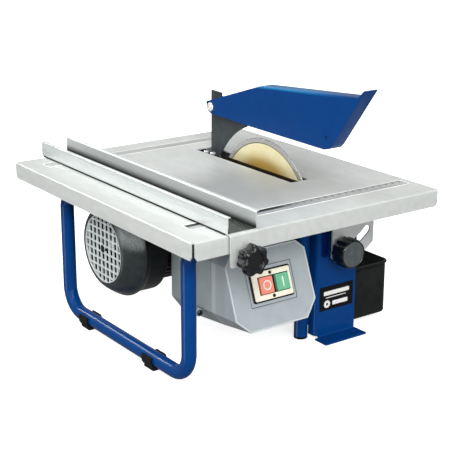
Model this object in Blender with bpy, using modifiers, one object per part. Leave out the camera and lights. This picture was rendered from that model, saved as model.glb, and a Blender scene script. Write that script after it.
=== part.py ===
"""Electric wet tile cutter: folded steel table on a bent tube frame, 180 mm diamond blade,
tilting table with quadrant plates, sliding fence, swinging blade guard and a water tank.

Metres, +Z up, operator's side at -Y, floor at Z = 0. Everything is laid out from the middle of
the table; the root empty then shifts the whole saw so that its box is centred on the origin.
"""
import math

import bmesh
import bpy
from mathutils import Matrix, Vector

# ---------------------------------------------------------------- driving dimensions
GAP = 0.0003                    # space left between pieces that touch

TABLE_WIDTH = 0.335
TABLE_DEPTH = 0.385
TABLE_TOP = 0.172
TABLE_SHEET = 0.0015
APRON = 0.019

BLADE_X = 0.068                 # blade plane, right of the table's middle
BLADE_RADIUS = 0.090
BLADE_THICKNESS = 0.0022
BLADE_BORE = 0.0128
AXLE_Z = TABLE_TOP - 0.056      # motor and blade axis
SHAFT_RADIUS = 0.0060

TILT_Z = TABLE_TOP - 0.010      # tilt pivot, just under the table, in the blade's plane
TILT_SLOT_RADIUS = 0.056
COLUMN_Y = 0.1325               # outer faces of the two columns
COLUMN_SHEET = 0.0020
COLUMN_LEFT = 0.0415
COLUMN_RIGHT = 0.100
QUADRANT_Y = 0.1400             # outer faces of the two tilt plates

TUBE_RADIUS = 0.008
TUBE_BEND = 0.028
TUBE_TOP_Z = 0.1505
TUBE_FOOT_Z = 0.0112
LEG_X = -0.149
LEG_Y_NEAR = -0.1575
LEG_Y_FAR = 0.096
POST_X = 0.0325
POST_Y = 0.117

MOTOR_RADIUS = 0.0505
MOTOR_LEFT = -0.158             # grille face
HOUSING_Z = AXLE_Z - 0.004      # middle of the fan cover and the housing's collar, below the shaft
MOTOR_RIGHT = 0.0205            # face that bolts to the motor plate

FENCE_X = -0.108                # middle of the fence
FENCE_WIDTH = 0.036
FENCE_HEIGHT = 0.019
FENCE_FRONT = -0.197
FENCE_REAR = 0.2005
STAR_Z = 0.149                  # height of the fence's clamping knob

GUARD_HALF_WIDTH = 0.0093
GUARD_SHEET = 0.0012
GUARD_PIVOT = (0.0995, 0.2292)  # y, z
KNIFE_THICKNESS = 0.0018
KNIFE_ARC = BLADE_RADIUS + 0.0145

BOX_LEAN = math.radians(20.5)   # the switch box's face leans back at its top
BOX_BROW_Y = -0.1502            # the leaning face at its top edge
BOX_TOP = 0.134
BOX_REAR = -0.0530
SWITCH_X = -0.0486
SWITCH_Z = 0.0971

FRONT_REACH = 0.2185            # star knob's face, in front of the table's middle
CENTRE_Y = (FRONT_REACH - FENCE_REAR) / 2


# ---------------------------------------------------------------- scene and helpers
for old in list(bpy.data.objects):
    bpy.data.objects.remove(old, do_unlink=True)

saw_collection = bpy.data.collections.new("tile_cutter")
tool_collection = bpy.data.collections.new("cutters")
for made in (saw_collection, tool_collection):
    bpy.context.scene.collection.children.link(made)

BLUE = ((0.020, 0.090, 0.300), 0.30, 0.0)
STEEL = ((0.620, 0.640, 0.640), 0.35, 0.9)
ZINC = ((0.500, 0.520, 0.540), 0.40, 0.9)
DARK_STEEL = ((0.060, 0.065, 0.070), 0.45, 0.6)
BLACK_PLASTIC = ((0.018, 0.018, 0.020), 0.45, 0.0)
GREY_PLASTIC = ((0.360, 0.380, 0.400), 0.50, 0.0)
RUBBER = ((0.012, 0.012, 0.012), 0.80, 0.0)
CREAM = ((0.700, 0.680, 0.560), 0.50, 0.0)
RED = ((0.600, 0.060, 0.030), 0.45, 0.0)
GREEN = ((0.030, 0.350, 0.120), 0.45, 0.0)
GOLD = ((0.700, 0.520, 0.200), 0.35, 0.7)
COPPER = ((0.550, 0.280, 0.140), 0.45, 0.7)


def finish(obj, look):
    """Give the object a Principled material of its own."""
    colour, roughness, metallic = look
    material = bpy.data.materials.new(obj.name + "_finish")
    material.use_nodes = True
    shader = material.node_tree.nodes["Principled BSDF"]
    shader.inputs["Base Color"].default_value = (*colour, 1.0)
    shader.inputs["Roughness"].default_value = roughness
    shader.inputs["Metallic"].default_value = metallic
    obj.data.materials.append(material)


def empty(name, location, parent=None):
    """An empty that stands on a joint's axis."""
    obj = bpy.data.objects.new(name, None)
    obj.empty_display_size = 0.02
    obj.location = location
    saw_collection.objects.link(obj)
    if parent:
        adopt(obj, parent)
    return obj


def home(obj):
    """Where an empty stands in the saw's own layout, before the root's shift."""
    return Vector((0, 0, 0)) if obj.parent is None else Vector(obj.location)


def adopt(child, parent):
    """Parent the child and leave it where the layout puts it."""
    child.parent = parent
    child.matrix_parent_inverse = Matrix.Translation(-home(parent))


def add(name, data, look, parent, location=(0, 0, 0), rotation=(0, 0, 0)):
    obj = bpy.data.objects.new(name, data)
    obj.location = location
    obj.rotation_euler = rotation
    saw_collection.objects.link(obj)
    adopt(obj, parent)
    finish(obj, look)
    return obj


def as_tool(obj):
    """Turn an object into a cutter, or into the second half of a union."""
    for used in list(obj.users_collection):
        used.objects.unlink(obj)
    tool_collection.objects.link(obj)
    obj.hide_render = True
    obj.display_type = "WIRE"
    return obj


def boolean(obj, tool, operation):
    mod = obj.modifiers.new(operation.lower(), "BOOLEAN")
    mod.operation = operation
    mod.solver = "EXACT"
    mod.object = as_tool(tool)
    return obj


def cut(obj, *tools):
    for tool in tools:
        boolean(obj, tool, "DIFFERENCE")
    return obj


def weld(obj, *tools):
    for tool in tools:
        boolean(obj, tool, "UNION")
    return obj


def bevel(obj, width, segments=2, angle=35):
    mod = obj.modifiers.new("bevel", "BEVEL")
    mod.width = width
    mod.segments = segments
    mod.limit_method = "ANGLE"
    mod.angle_limit = math.radians(angle)
    return obj


def box(name, low, high, look, parent):
    """A box between two corners, with its origin at its middle."""
    low, high = Vector(low), Vector(high)
    mesh = bpy.data.meshes.new(name)
    shape = bmesh.new()
    bmesh.ops.create_cube(shape, size=1.0)
    bmesh.ops.scale(shape, vec=high - low, verts=shape.verts)
    shape.to_mesh(mesh)
    shape.free()
    return add(name, mesh, look, parent, location=(low + high) / 2)


TURNS = {"X": (0, math.pi / 2, 0), "Y": (-math.pi / 2, 0, 0), "Z": (0, 0, 0)}


def turned(name, outline, look, parent, origin, axis="X", steps=32):
    """Turn (radius, height) points about an axis. The outline runs down its outer side.

    It starts and ends on the axis, or is closed into a ring that leaves a bore.
    """
    count = len(outline)
    ring = outline[0][0] > 0
    edges = [(i, i + 1) for i in range(count - 1)]
    if ring:
        edges.append((count - 1, 0))
    mesh = bpy.data.meshes.new(name)
    mesh.from_pydata([(radius, 0, height) for radius, height in outline], edges, [])
    obj = add(name, mesh, look, parent, origin, TURNS[axis])
    mod = obj.modifiers.new("turn", "SCREW")
    mod.steps = mod.render_steps = steps
    mod.use_merge_vertices = True
    mod.merge_threshold = 0.00002
    mod.use_smooth_shade = True
    return obj


def ring(name, outer, inner, start, end, look, parent, origin, axis="X", steps=32):
    """A plain ring between two heights on its axis."""
    outline = [(outer, end), (outer, start), (inner, start), (inner, end)]
    return turned(name, outline, look, parent, origin, axis, steps)


def rod(name, radius, start, end, look, parent, origin, axis="X", steps=20):
    """A plain round bar."""
    outline = [(0, end), (radius, end), (radius, start), (0, start)]
    return turned(name, outline, look, parent, origin, axis, steps)


def arc(cx, cy, radius, start, end, count):
    """Points on an arc, angles in degrees."""
    points = []
    for i in range(count + 1):
        a = math.radians(start + (end - start) * i / count)
        points.append((cx + radius * math.cos(a), cy + radius * math.sin(a)))
    return points


def circle(cx, cy, radius, count=20):
    return arc(cx, cy, radius, 0, 360, count)[:-1]


def rounded_rectangle(x0, y0, x1, y1, radius, count=4):
    corners = ((x1, y1, -1, -1, 0), (x0, y1, 1, -1, 90), (x0, y0, 1, 1, 180), (x1, y0, -1, 1, 270))
    points = []
    for x, y, sx, sy, start in corners:
        points += arc(x + sx * radius, y + sy * radius, radius, start, start + 90, count)
    return points


def lobed(radius, depth, lobes, per_lobe=6):
    """The outline of a star grip or a fluted knob."""
    count = lobes * per_lobe
    points = []
    for i in range(count):
        a = 2 * math.pi * i / count
        r = radius + depth * math.cos(lobes * a)
        points.append((r * math.cos(a), r * math.sin(a)))
    return points


FACING = {"X": (math.pi / 2, 0, math.pi / 2), "Y": (math.pi / 2, 0, 0), "Z": (0, 0, 0)}


def plate(name, outlines, low, high, look, parent, axis="Y", origin=(0, 0, 0)):
    """Flat plate from one outline and any holes, between two heights along its axis.

    Outlines are (x, z) for axis Y, (y, z) for axis X and (x, y) for axis Z, from the origin.
    """
    curve = bpy.data.curves.new(name, "CURVE")
    curve.dimensions = "2D"
    curve.fill_mode = "BOTH"
    curve.extrude = (high - low) / 2
    for outline in outlines:
        spline = curve.splines.new("POLY")
        spline.points.add(len(outline) - 1)
        for point, (x, y) in zip(spline.points, outline):
            point.co = (x, y, 0, 1)
        spline.use_cyclic_u = True
    middle = Vector(origin)
    middle["XYZ".index(axis)] += (low + high) / 2
    return add(name, curve, look, parent, middle, FACING[axis])


def meshed(curve_object):
    """Make a curve a mesh, so that it can be cut or joined."""
    name = curve_object.name
    bpy.context.view_layer.update()
    graph = bpy.context.evaluated_depsgraph_get()
    mesh = bpy.data.meshes.new_from_object(curve_object.evaluated_get(graph))
    shape = bmesh.new()
    shape.from_mesh(mesh)
    bmesh.ops.remove_doubles(shape, verts=shape.verts, dist=0.00001)
    bmesh.ops.recalc_face_normals(shape, faces=shape.faces)
    shape.to_mesh(mesh)
    shape.free()
    obj = bpy.data.objects.new(name, mesh)
    saw_collection.objects.link(obj)
    obj.location = curve_object.location
    obj.rotation_euler = curve_object.rotation_euler
    adopt(obj, curve_object.parent)
    bpy.data.objects.remove(curve_object, do_unlink=True)
    obj.name = name
    return obj


def filleted(points, radii, steps=6):
    """A route of straight runs with round bends, given a radius for each corner."""
    points = [Vector(p) for p in points]
    route = [points[0]]
    for before, corner, after, radius in zip(points, points[1:], points[2:], radii):
        back = (before - corner).normalized()
        ahead = (after - corner).normalized()
        half = back.angle(ahead) / 2
        reach = radius / math.tan(half)
        centre = corner + (back + ahead).normalized() * radius / math.sin(half)
        first = corner + back * reach - centre
        axis = back.cross(first)
        turn = math.pi - 2 * half
        for i in range(steps + 1):
            route.append(centre + Matrix.Rotation(turn * i / steps, 3, axis) @ first)
    route.append(points[-1])
    return route


def tube(name, route, radius, look, parent):
    """A round tube along a route, closed at both ends."""
    curve = bpy.data.curves.new(name, "CURVE")
    curve.dimensions = "3D"
    curve.bevel_depth = radius
    curve.bevel_resolution = 3
    curve.use_fill_caps = True
    spline = curve.splines.new("POLY")
    spline.points.add(len(route) - 1)
    for point, place in zip(spline.points, route):
        point.co = (*place, 1)
    return add(name, curve, look, parent)


def end_name(side):
    """Which end of the saw a side sign stands for."""
    return "front" if side < 0 else "rear"


def y_span(side, inner, outer):
    """Low and high y of something that stands between two distances from the middle."""
    return (-outer, -inner) if side < 0 else (inner, outer)


# ---------------------------------------------------------------- joints' empties
saw = empty("saw", (0, CENTRE_Y, 0))
table_axis = empty("table_axis", (BLADE_X, 0, TILT_Z), saw)
fence_origin = empty("fence_origin", (FENCE_X, 0, TABLE_TOP), table_axis)
fence_knob_axis = empty("fence_knob_axis", (FENCE_X, FENCE_FRONT, STAR_Z), fence_origin)
guard_axis = empty("guard_axis", (BLADE_X, *GUARD_PIVOT), saw)
spindle_axis = empty("spindle_axis", (BLADE_X, 0, AXLE_Z), saw)


# ---------------------------------------------------------------- frame
def build_frame():
    corners = [
        (POST_X, -POST_Y, 0.003),
        (POST_X, -POST_Y, TUBE_TOP_Z),
        (LEG_X, LEG_Y_NEAR, TUBE_TOP_Z),
        (LEG_X, LEG_Y_NEAR, TUBE_FOOT_Z),
        (LEG_X, LEG_Y_FAR, TUBE_FOOT_Z),
        (LEG_X, LEG_Y_FAR, TUBE_TOP_Z),
        (POST_X, POST_Y, TUBE_TOP_Z),
        (POST_X, POST_Y, 0.003),
    ]
    tight = TUBE_BEND / 2               # bends right under the table sheet
    bends = (tight, tight, TUBE_BEND, TUBE_BEND, tight, tight)
    tube("frame_tube", filleted(corners, bends), TUBE_RADIUS, BLUE, saw)
    for side, y in ((-1, -0.0895), (1, 0.0495)):
        build_saddle_foot("foot_saddle_" + end_name(side), y)
    for side in (-1, 1):
        rod("post_foot_" + end_name(side), TUBE_RADIUS, 0, 0.0027, RUBBER, saw,
            (POST_X, side * POST_Y, 0), "Z", 16)


def build_saddle_foot(name, y):
    """A rubber C clipped round the leg's bottom run, flat where it meets the floor."""
    inner = TUBE_RADIUS + GAP
    outer = inner + 0.0027
    wrap = arc(LEG_X, TUBE_FOOT_Z, inner, 30, -210, 10)
    back = arc(LEG_X, TUBE_FOOT_Z, outer, -210, -130, 3)
    base = [(LEG_X - 0.0075, 0), (LEG_X + 0.0075, 0)]
    plate(name, [wrap + back + base + arc(LEG_X, TUBE_FOOT_Z, outer, -50, 30, 3)],
          y - 0.0095, y + 0.0095, RUBBER, saw)


def column_outline():
    """Face of a column: chamfered at its top right, which the tilted table passes."""
    return [
        (COLUMN_LEFT, 0),
        (COLUMN_RIGHT, 0),
        (COLUMN_RIGHT, TILT_Z - 0.023),
        (BLADE_X + 0.003, TILT_Z + 0.006),
        (BLADE_X - 0.022, TILT_Z + 0.006),
        (COLUMN_LEFT, TILT_Z - 0.004),
    ]


def build_column(side):
    """Folded sheet post: face, side return and a foot flange with a fixing slot."""
    name = "column_" + end_name(side)
    inner = COLUMN_Y - COLUMN_SHEET
    stud_z = TILT_Z - TILT_SLOT_RADIUS
    holes = [
        circle(BLADE_X, TILT_Z, 0.0033, 16),
        circle(BLADE_X, stud_z, 0.0043, 16),
        rounded_rectangle(0.0462, 0.0955, 0.0595, 0.150, 0.004),
    ]
    low, high = y_span(side, inner, COLUMN_Y)
    column = meshed(plate(name, [column_outline()] + holes, low, high, BLUE, saw))
    low, high = y_span(side, COLUMN_Y - 0.014, COLUMN_Y - 0.001)
    flange = box("side_return", (COLUMN_LEFT, low, 0.001), (COLUMN_LEFT + COLUMN_SHEET, high, 0.146),
                 BLUE, saw)
    low, high = y_span(side, COLUMN_Y - 0.001, COLUMN_Y + 0.0215)
    foot = box("foot_flange", (COLUMN_LEFT - 0.002, low, 0), (COLUMN_RIGHT + 0.001, high, COLUMN_SHEET),
               BLUE, saw)
    weld(column, flange, foot)
    slot = rounded_rectangle(-0.0045, -0.002, 0.0045, 0.002, 0.0019)
    fixing = meshed(plate("fixing_slot", [slot], -0.002, 0.004, BLUE, saw, "Z",
                          (0.0896, side * (COLUMN_Y + 0.011), 0)))
    return cut(column, fixing)


def build_motor_plate():
    """Upright plate on the posts that carries the motor. Its ears stop below the tube's bends."""
    half, between = 0.1245, 0.1040
    holes = [circle(0, AXLE_Z, 0.0179, 28)]
    holes += [circle(y, AXLE_Z + z, 0.0028, 12) for y in (-0.03, 0.03) for z in (-0.03, 0.03)]
    outline = [
        (-half, 0.060), (half, 0.060), (half, 0.115), (between, 0.115),
        (between, 0.150), (-between, 0.150), (-between, 0.115), (-half, 0.115),
    ]
    plate("motor_plate", [outline] + holes, 0.0210, 0.0240, BLUE, saw, "X")


def build_splash_shield():
    """Thin wall between motor and blade. Its lower part hangs inside the tank."""
    outline = [
        (-0.130, 0.076), (-0.110, 0.076), (-0.110, 0.060), (0.094, 0.060),
        (0.094, 0.076), (0.130, 0.076), (0.130, 0.158), (-0.130, 0.158),
    ]
    plate("splash_shield", [outline, circle(0, AXLE_Z, 0.024, 28)], 0.0550, 0.0565,
          BLACK_PLASTIC, saw, "X")


def build_tilt_hardware(side):
    """Pivot pin and clamping stud of one column; both stay with the column."""
    where = end_name(side)
    flip = 1 if side < 0 else -1
    pivot = [(0, -0.0102), (0.003, -0.0102), (0.003, -0.0003), (0.006, -0.0003),
             (0.006, 0.0025), (0, 0.0025)]
    stud = [(0, -0.0140), (0.007, -0.0140), (0.007, -0.0100), (0.004, -0.0100),
            (0.004, 0.0200), (0, 0.0200)]
    for name, profile, z in (("tilt_pivot_", pivot, TILT_Z),
                             ("tilt_stud_", stud, TILT_Z - TILT_SLOT_RADIUS)):
        pin = turned(name + where, profile[::-1], ZINC, saw,
                     (BLADE_X, side * (QUADRANT_Y + GAP), z), "Y", 16)
        pin.rotation_euler = (math.pi / 2 * flip, 0, 0)


# ---------------------------------------------------------------- motor and spindle
def build_motor():
    axis = (0, 0, AXLE_Z)
    left, right = MOTOR_LEFT, MOTOR_RIGHT
    cover = [
        (0.0560, left + 0.0290), (0.0575, left + 0.0225), (0.0560, left + 0.0180),
        (0.0505, left + 0.0090), (0.0455, left + 0.0030), (0.0418, left), (0.0390, left),
        (0.0390, left + 0.0026), (0.0430, left + 0.0032), (0.0475, left + 0.0090),
        (0.0530, left + 0.0190), (0.0530, left + 0.0290),
    ]
    turned("fan_cover", cover, BLACK_PLASTIC, saw, (0, 0, HOUSING_Z), "X", 40)
    build_grille()
    can = ring("motor_can", MOTOR_RADIUS, MOTOR_RADIUS - 0.0025, left + 0.0293, -0.0100,
               BLACK_PLASTIC, saw, axis, "X", 40)
    collar = [circle(0, HOUSING_Z, 0.0550, 40), circle(0, AXLE_Z, MOTOR_RADIUS - 0.0012, 40)]
    weld(can, meshed(plate("collar", collar, left + 0.0293, -0.1060, BLACK_PLASTIC, saw, "X")))
    ring("stator", 0.0477, 0.0262, -0.085, -0.025, COPPER, saw, axis, "X", 40)
    ring("end_shield_fan_side", 0.0477, 0.0113, -0.1215, -0.1165, ZINC, saw, axis)
    ring("bearing_fan_side", 0.0110, 0.0053, -0.1225, -0.1155, STEEL, saw, axis, steps=24)
    shield = [
        (0.0175, 0.0440), (0.0175, right + 0.0002), (0.0460, right), (0.0500, -0.0097),
        (0.0460, -0.0097), (0.0430, 0.0120), (0.0143, 0.0120), (0.0143, 0.0300),
        (0.0066, 0.0300), (0.0066, 0.0440),
    ]
    turned("end_shield_blade_side", shield, BLACK_PLASTIC, saw, axis, "X", 40)
    ring("bearing_blade_side", 0.0140, 0.0063, 0.0205, 0.0285, STEEL, saw, axis, steps=24)
    bolt = [(0, 0.0278), (0.0045, 0.0278), (0.0045, 0.0243), (0.0025, 0.0243),
            (0.0025, right + 0.0005), (0, right + 0.0005)]
    for number, (y, z) in enumerate(((-0.03, -0.03), (-0.03, 0.03), (0.03, -0.03), (0.03, 0.03)), 1):
        turned("motor_bolt_%d" % number, bolt, ZINC, saw, (0, y, AXLE_Z + z), "X", 12)


def build_grille():
    """Round guard with square openings over the cooling fan."""
    radius = 0.0385
    pitch = 0.0098
    opening = 0.0078
    disc = ring("fan_grille", radius, 0.0012, MOTOR_LEFT + 0.0004, MOTOR_LEFT + 0.0026,
                BLACK_PLASTIC, saw, (0, 0, HOUSING_Z), "X", 40)
    shape = bmesh.new()
    for column in range(-3, 4):
        for row in range(-3, 4):
            y, z = column * pitch, row * pitch
            near_middle = column == 0 and row == 0
            if near_middle or math.hypot(abs(y) + opening / 2, abs(z) + opening / 2) > radius - 0.001:
                continue
            made = bmesh.ops.create_cube(shape, size=opening)
            bmesh.ops.translate(shape, vec=(0, y, z), verts=made["verts"])
    mesh = bpy.data.meshes.new("grille_openings")
    shape.to_mesh(mesh)
    shape.free()
    openings = add("grille_openings", mesh, BLACK_PLASTIC, saw,
                   (MOTOR_LEFT + 0.0015, 0, HOUSING_Z))
    return cut(disc, openings)


def build_spindle():
    """Everything that turns with the motor."""
    axis = (0, 0, AXLE_Z)
    shaft = [
        (0, 0.0870), (0.0055, 0.0870), (0.0055, 0.0742), (SHAFT_RADIUS, 0.0742),
        (SHAFT_RADIUS, -0.1120), (0.0050, -0.1120), (0.0050, -0.1480), (0, -0.1480),
    ]
    turned("motor_shaft", shaft, STEEL, spindle_axis, axis, "X", 24)
    ring("rotor_core", 0.0255, 0.0063, -0.085, -0.025, DARK_STEEL, spindle_axis, axis)
    build_fan()
    inner_flange = [
        (0.0124, BLADE_X + 0.0008), (0.0124, BLADE_X - 0.0016), (0.0220, BLADE_X - 0.0016),
        (0.0220, BLADE_X - 0.0080), (0.0063, BLADE_X - 0.0080), (0.0063, BLADE_X + 0.0008),
    ]
    turned("inner_flange", inner_flange, ZINC, spindle_axis, axis, "X", 28)
    half = BLADE_THICKNESS / 2
    core = half - 0.0003
    rim = BLADE_RADIUS - 0.0085
    blade = [
        (BLADE_RADIUS, half), (BLADE_RADIUS, -half), (rim, -half), (rim - 0.0003, -core),
        (BLADE_BORE, -core), (BLADE_BORE, core), (rim - 0.0003, core), (rim, half),
    ]
    turned("diamond_blade", blade, GOLD, spindle_axis, (BLADE_X, 0, AXLE_Z), "X", 72)
    ring("outer_flange", 0.0220, 0.0063, BLADE_X + 0.0015, BLADE_X + 0.0060, ZINC,
         spindle_axis, axis, steps=28)
    hexagon = arc(0, 0, 0.0120, 0, 300, 5)
    plate("arbor_nut", [hexagon, circle(0, 0, 0.0058, 20)], 0.0743, 0.0823, ZINC,
          spindle_axis, "X", axis)


def build_fan():
    """Cooling fan: a disc on a hub with radial vanes."""
    left, back = -0.1460, -0.1310
    hub = [(0.0390, back), (0.0390, back - 0.0015), (0.0100, back - 0.0015), (0.0100, left),
           (0.0053, left), (0.0053, back)]
    fan = turned("cooling_fan", hub, BLACK_PLASTIC, spindle_axis, (0, 0, AXLE_Z), "X", 32)
    vanes = 6
    for i in range(vanes):
        vane = box("fan_vane_%d" % i, (left + 0.001, 0.0085, AXLE_Z - 0.0008),
                   (back - 0.0008, 0.0370, AXLE_Z + 0.0008), BLACK_PLASTIC, spindle_axis)
        turn = Matrix.Rotation(2 * math.pi * i / vanes, 4, "X")
        middle = Vector((0, 0, AXLE_Z))
        vane.location = middle + turn @ (Vector(vane.location) - middle)
        vane.rotation_euler = turn.to_euler()
        weld(fan, vane)


# ---------------------------------------------------------------- table
def build_table():
    """Folded tray: one sheet with an apron on all four sides, open underneath."""
    mesh = bpy.data.meshes.new("table_top")
    shape = bmesh.new()
    bmesh.ops.create_cube(shape, size=1.0)
    bmesh.ops.scale(shape, vec=(TABLE_WIDTH, TABLE_DEPTH, APRON), verts=shape.verts)
    underside = [f for f in shape.faces if f.normal.z < -0.5]
    bmesh.ops.delete(shape, geom=underside, context="FACES_ONLY")
    shape.to_mesh(mesh)
    shape.free()
    table = add("table_top", mesh, STEEL, table_axis, (0, 0, TABLE_TOP - APRON / 2))
    shell = table.modifiers.new("sheet", "SOLIDIFY")
    shell.thickness = TABLE_SHEET
    shell.offset = -1
    shell.use_even_offset = True
    slot = rounded_rectangle(BLADE_X - 0.019, -0.0745, BLADE_X + 0.0075, 0.1195, 0.002, 2)
    cut(table, meshed(plate("blade_slot", [slot], 0.160, 0.180, STEEL, table_axis, "Z")))
    for name, y, x_end in (("front", -0.1466, 0.155), ("rear", 0.1558, 0.125)):
        build_scale_strip(table, name, y, x_end)
    relief = 0.0024
    for x in (-1, 1):
        for y in (-1, 1):
            corner = box("corner_relief", (-relief, -relief, TABLE_TOP - APRON - 0.001),
                         (relief, relief, TABLE_TOP - 0.004), STEEL, table_axis)
            corner.location = (x * TABLE_WIDTH / 2, y * TABLE_DEPTH / 2, corner.location.z)
            corner.rotation_euler = (0, 0, math.pi / 4)
            cut(table, corner)
    return table


def build_scale_strip(table, name, y, x_end):
    """A thin rule let into the table's top."""
    x_start = -0.142
    half = 0.0065
    depth = 0.0008
    pocket = box("scale_pocket_" + name, (x_start, y - half, TABLE_TOP - depth),
                 (x_end, y + half, TABLE_TOP + 0.001), STEEL, table_axis)
    cut(table, pocket)
    box("scale_strip_" + name, (x_start + GAP, y - half + GAP, TABLE_TOP - depth + GAP),
        (x_end - GAP, y + half - GAP, TABLE_TOP), ZINC, table_axis)


def build_quadrant(side):
    """Tilt plate under the table with an arc slot centred on the pivot."""
    where = end_name(side)
    left, right = BLADE_X - 0.0115, BLADE_X + 0.0505
    top = TABLE_TOP - TABLE_SHEET - GAP
    outer = 0.0745
    outline = [(right, top), (left, top), (left, TILT_Z - 0.065), (BLADE_X, TILT_Z - outer)]
    outline += arc(BLADE_X, TILT_Z, outer, -86, -48, 6)
    half = 0.0046
    far = math.radians(-44.5)
    slot = arc(BLADE_X, TILT_Z, TILT_SLOT_RADIUS + half, -91, -44.5, 8)
    slot += arc(BLADE_X + TILT_SLOT_RADIUS * math.cos(far), TILT_Z + TILT_SLOT_RADIUS * math.sin(far),
                half, -44.5, 135.5, 6)[1:-1]
    slot += arc(BLADE_X, TILT_Z, TILT_SLOT_RADIUS - half, -44.5, -91, 8)
    slot += arc(BLADE_X, TILT_Z - TILT_SLOT_RADIUS, half, 90, 270, 4)[1:-1]
    pivot = circle(BLADE_X, TILT_Z, 0.0033, 16)
    low, high = y_span(side, QUADRANT_Y - COLUMN_SHEET, QUADRANT_Y)
    body = meshed(plate("tilt_plate_" + where, [outline, slot, pivot], low, high, ZINC, table_axis))
    low, high = y_span(side, QUADRANT_Y - 0.001, QUADRANT_Y + 0.012)
    flange = box("tilt_flange_" + where, (left, low, top - 0.0017), (right, high, top), ZINC, table_axis)
    return weld(body, flange)


def build_tilt_knob(side):
    """Fluted clamping knob on a tilt stud."""
    where = end_name(side)
    stud_z = TILT_Z - TILT_SLOT_RADIUS
    pivot = empty("tilt_knob_axis_" + where, (BLADE_X, side * QUADRANT_Y, stud_z), saw)
    low, high = y_span(side, QUADRANT_Y + 0.0040, QUADRANT_Y + 0.0235)
    knob = meshed(plate("tilt_knob_" + where, [lobed(0.0166, 0.0006, 18, 4)], low, high,
                        BLACK_PLASTIC, pivot, "Y", (BLADE_X, 0, stud_z)))
    low, high = y_span(side, QUADRANT_Y + GAP, QUADRANT_Y + 0.0050)
    neck = rod("knob_neck_" + where, 0.0110, low, high, BLACK_PLASTIC, pivot, (BLADE_X, 0, stud_z), "Y", 28)
    low, high = y_span(side, QUADRANT_Y - 0.002, QUADRANT_Y + 0.0208)
    bore = rod("knob_bore_" + where, 0.0043, low, high, BLACK_PLASTIC, pivot, (BLADE_X, 0, stud_z), "Y", 20)
    weld(knob, neck)
    return cut(knob, bore)


# ---------------------------------------------------------------- fence
def build_fence():
    """U channel with hemmed walls, a tab over the front apron and one over the rear."""
    half = FENCE_WIDTH / 2
    base = TABLE_TOP + GAP
    top = TABLE_TOP + FENCE_HEIGHT
    sheet = 0.0014
    profile = [(-half + 0.0032, top), (-half, top), (-half, base), (half, base), (half, top),
               (half + 0.0030, top)]
    mesh = bpy.data.meshes.new("fence")
    shape = bmesh.new()
    line = [shape.verts.new((x, 0, z)) for x, z in profile]
    edges = [shape.edges.new(pair) for pair in zip(line, line[1:])]
    pulled = bmesh.ops.extrude_edge_only(shape, edges=edges)
    moved = [v for v in pulled["geom"] if isinstance(v, bmesh.types.BMVert)]
    bmesh.ops.translate(shape, vec=(0, FENCE_REAR - FENCE_FRONT, 0), verts=moved)
    bmesh.ops.recalc_face_normals(shape, faces=shape.faces)
    lowest = min(shape.faces, key=lambda f: f.calc_center_median().z)
    if lowest.normal.z > 0:
        bmesh.ops.reverse_faces(shape, faces=shape.faces)
    bmesh.ops.translate(shape, vec=(0, 0, -TABLE_TOP), verts=shape.verts)
    shape.to_mesh(mesh)
    shape.free()
    fence = add("fence", mesh, STEEL, fence_origin, (FENCE_X, FENCE_FRONT, TABLE_TOP))
    shell = fence.modifiers.new("sheet", "SOLIDIFY")
    shell.thickness = sheet
    shell.offset = -1
    shell.use_even_offset = True
    front = box("front_tab", (FENCE_X - half, FENCE_FRONT, 0.139),
                (FENCE_X + half, FENCE_FRONT + 0.0016, base + sheet), STEEL, fence_origin)
    rear = box("rear_tab", (FENCE_X - 0.012, 0.1945, 0.158),
               (FENCE_X + 0.012, 0.1960, base + sheet / 2), STEEL, fence_origin)
    weld(fence, front, rear)
    hole = rod("stud_hole", 0.0034, -0.199, -0.193, STEEL, fence_origin, (FENCE_X, 0, STAR_Z), "Y", 16)
    cut(fence, hole)
    clamp = [rounded_rectangle(-0.010, -0.008, 0.010, 0.019, 0.002, 2), circle(0, 0, 0.0034, 16)]
    plate("fence_clamp", clamp, -0.1905, -0.1880, ZINC, fence_origin, "Y", (FENCE_X, 0, STAR_Z))


def build_fence_knob():
    """Seven-lobed star knob with its stud, which passes under the apron."""
    middle = (FENCE_X, 0, STAR_Z)
    knob = meshed(plate("fence_knob", [lobed(0.0140, 0.0024, 7, 8)], -FRONT_REACH, -0.2035,
                        BLACK_PLASTIC, fence_knob_axis, "Y", middle))
    neck = rod("star_neck", 0.0085, -0.2045, FENCE_FRONT - GAP, BLACK_PLASTIC, fence_knob_axis, middle,
               "Y", 28)
    stud = rod("star_stud", 0.0030, -0.2040, -0.1855, ZINC, fence_knob_axis, middle, "Y", 16)
    dish = rod("star_dish", 0.0078, -FRONT_REACH - 0.001, -FRONT_REACH + 0.0015, BLACK_PLASTIC,
               fence_knob_axis, middle, "Y", 28)
    weld(knob, neck, stud)
    cut(knob, dish)


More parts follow.
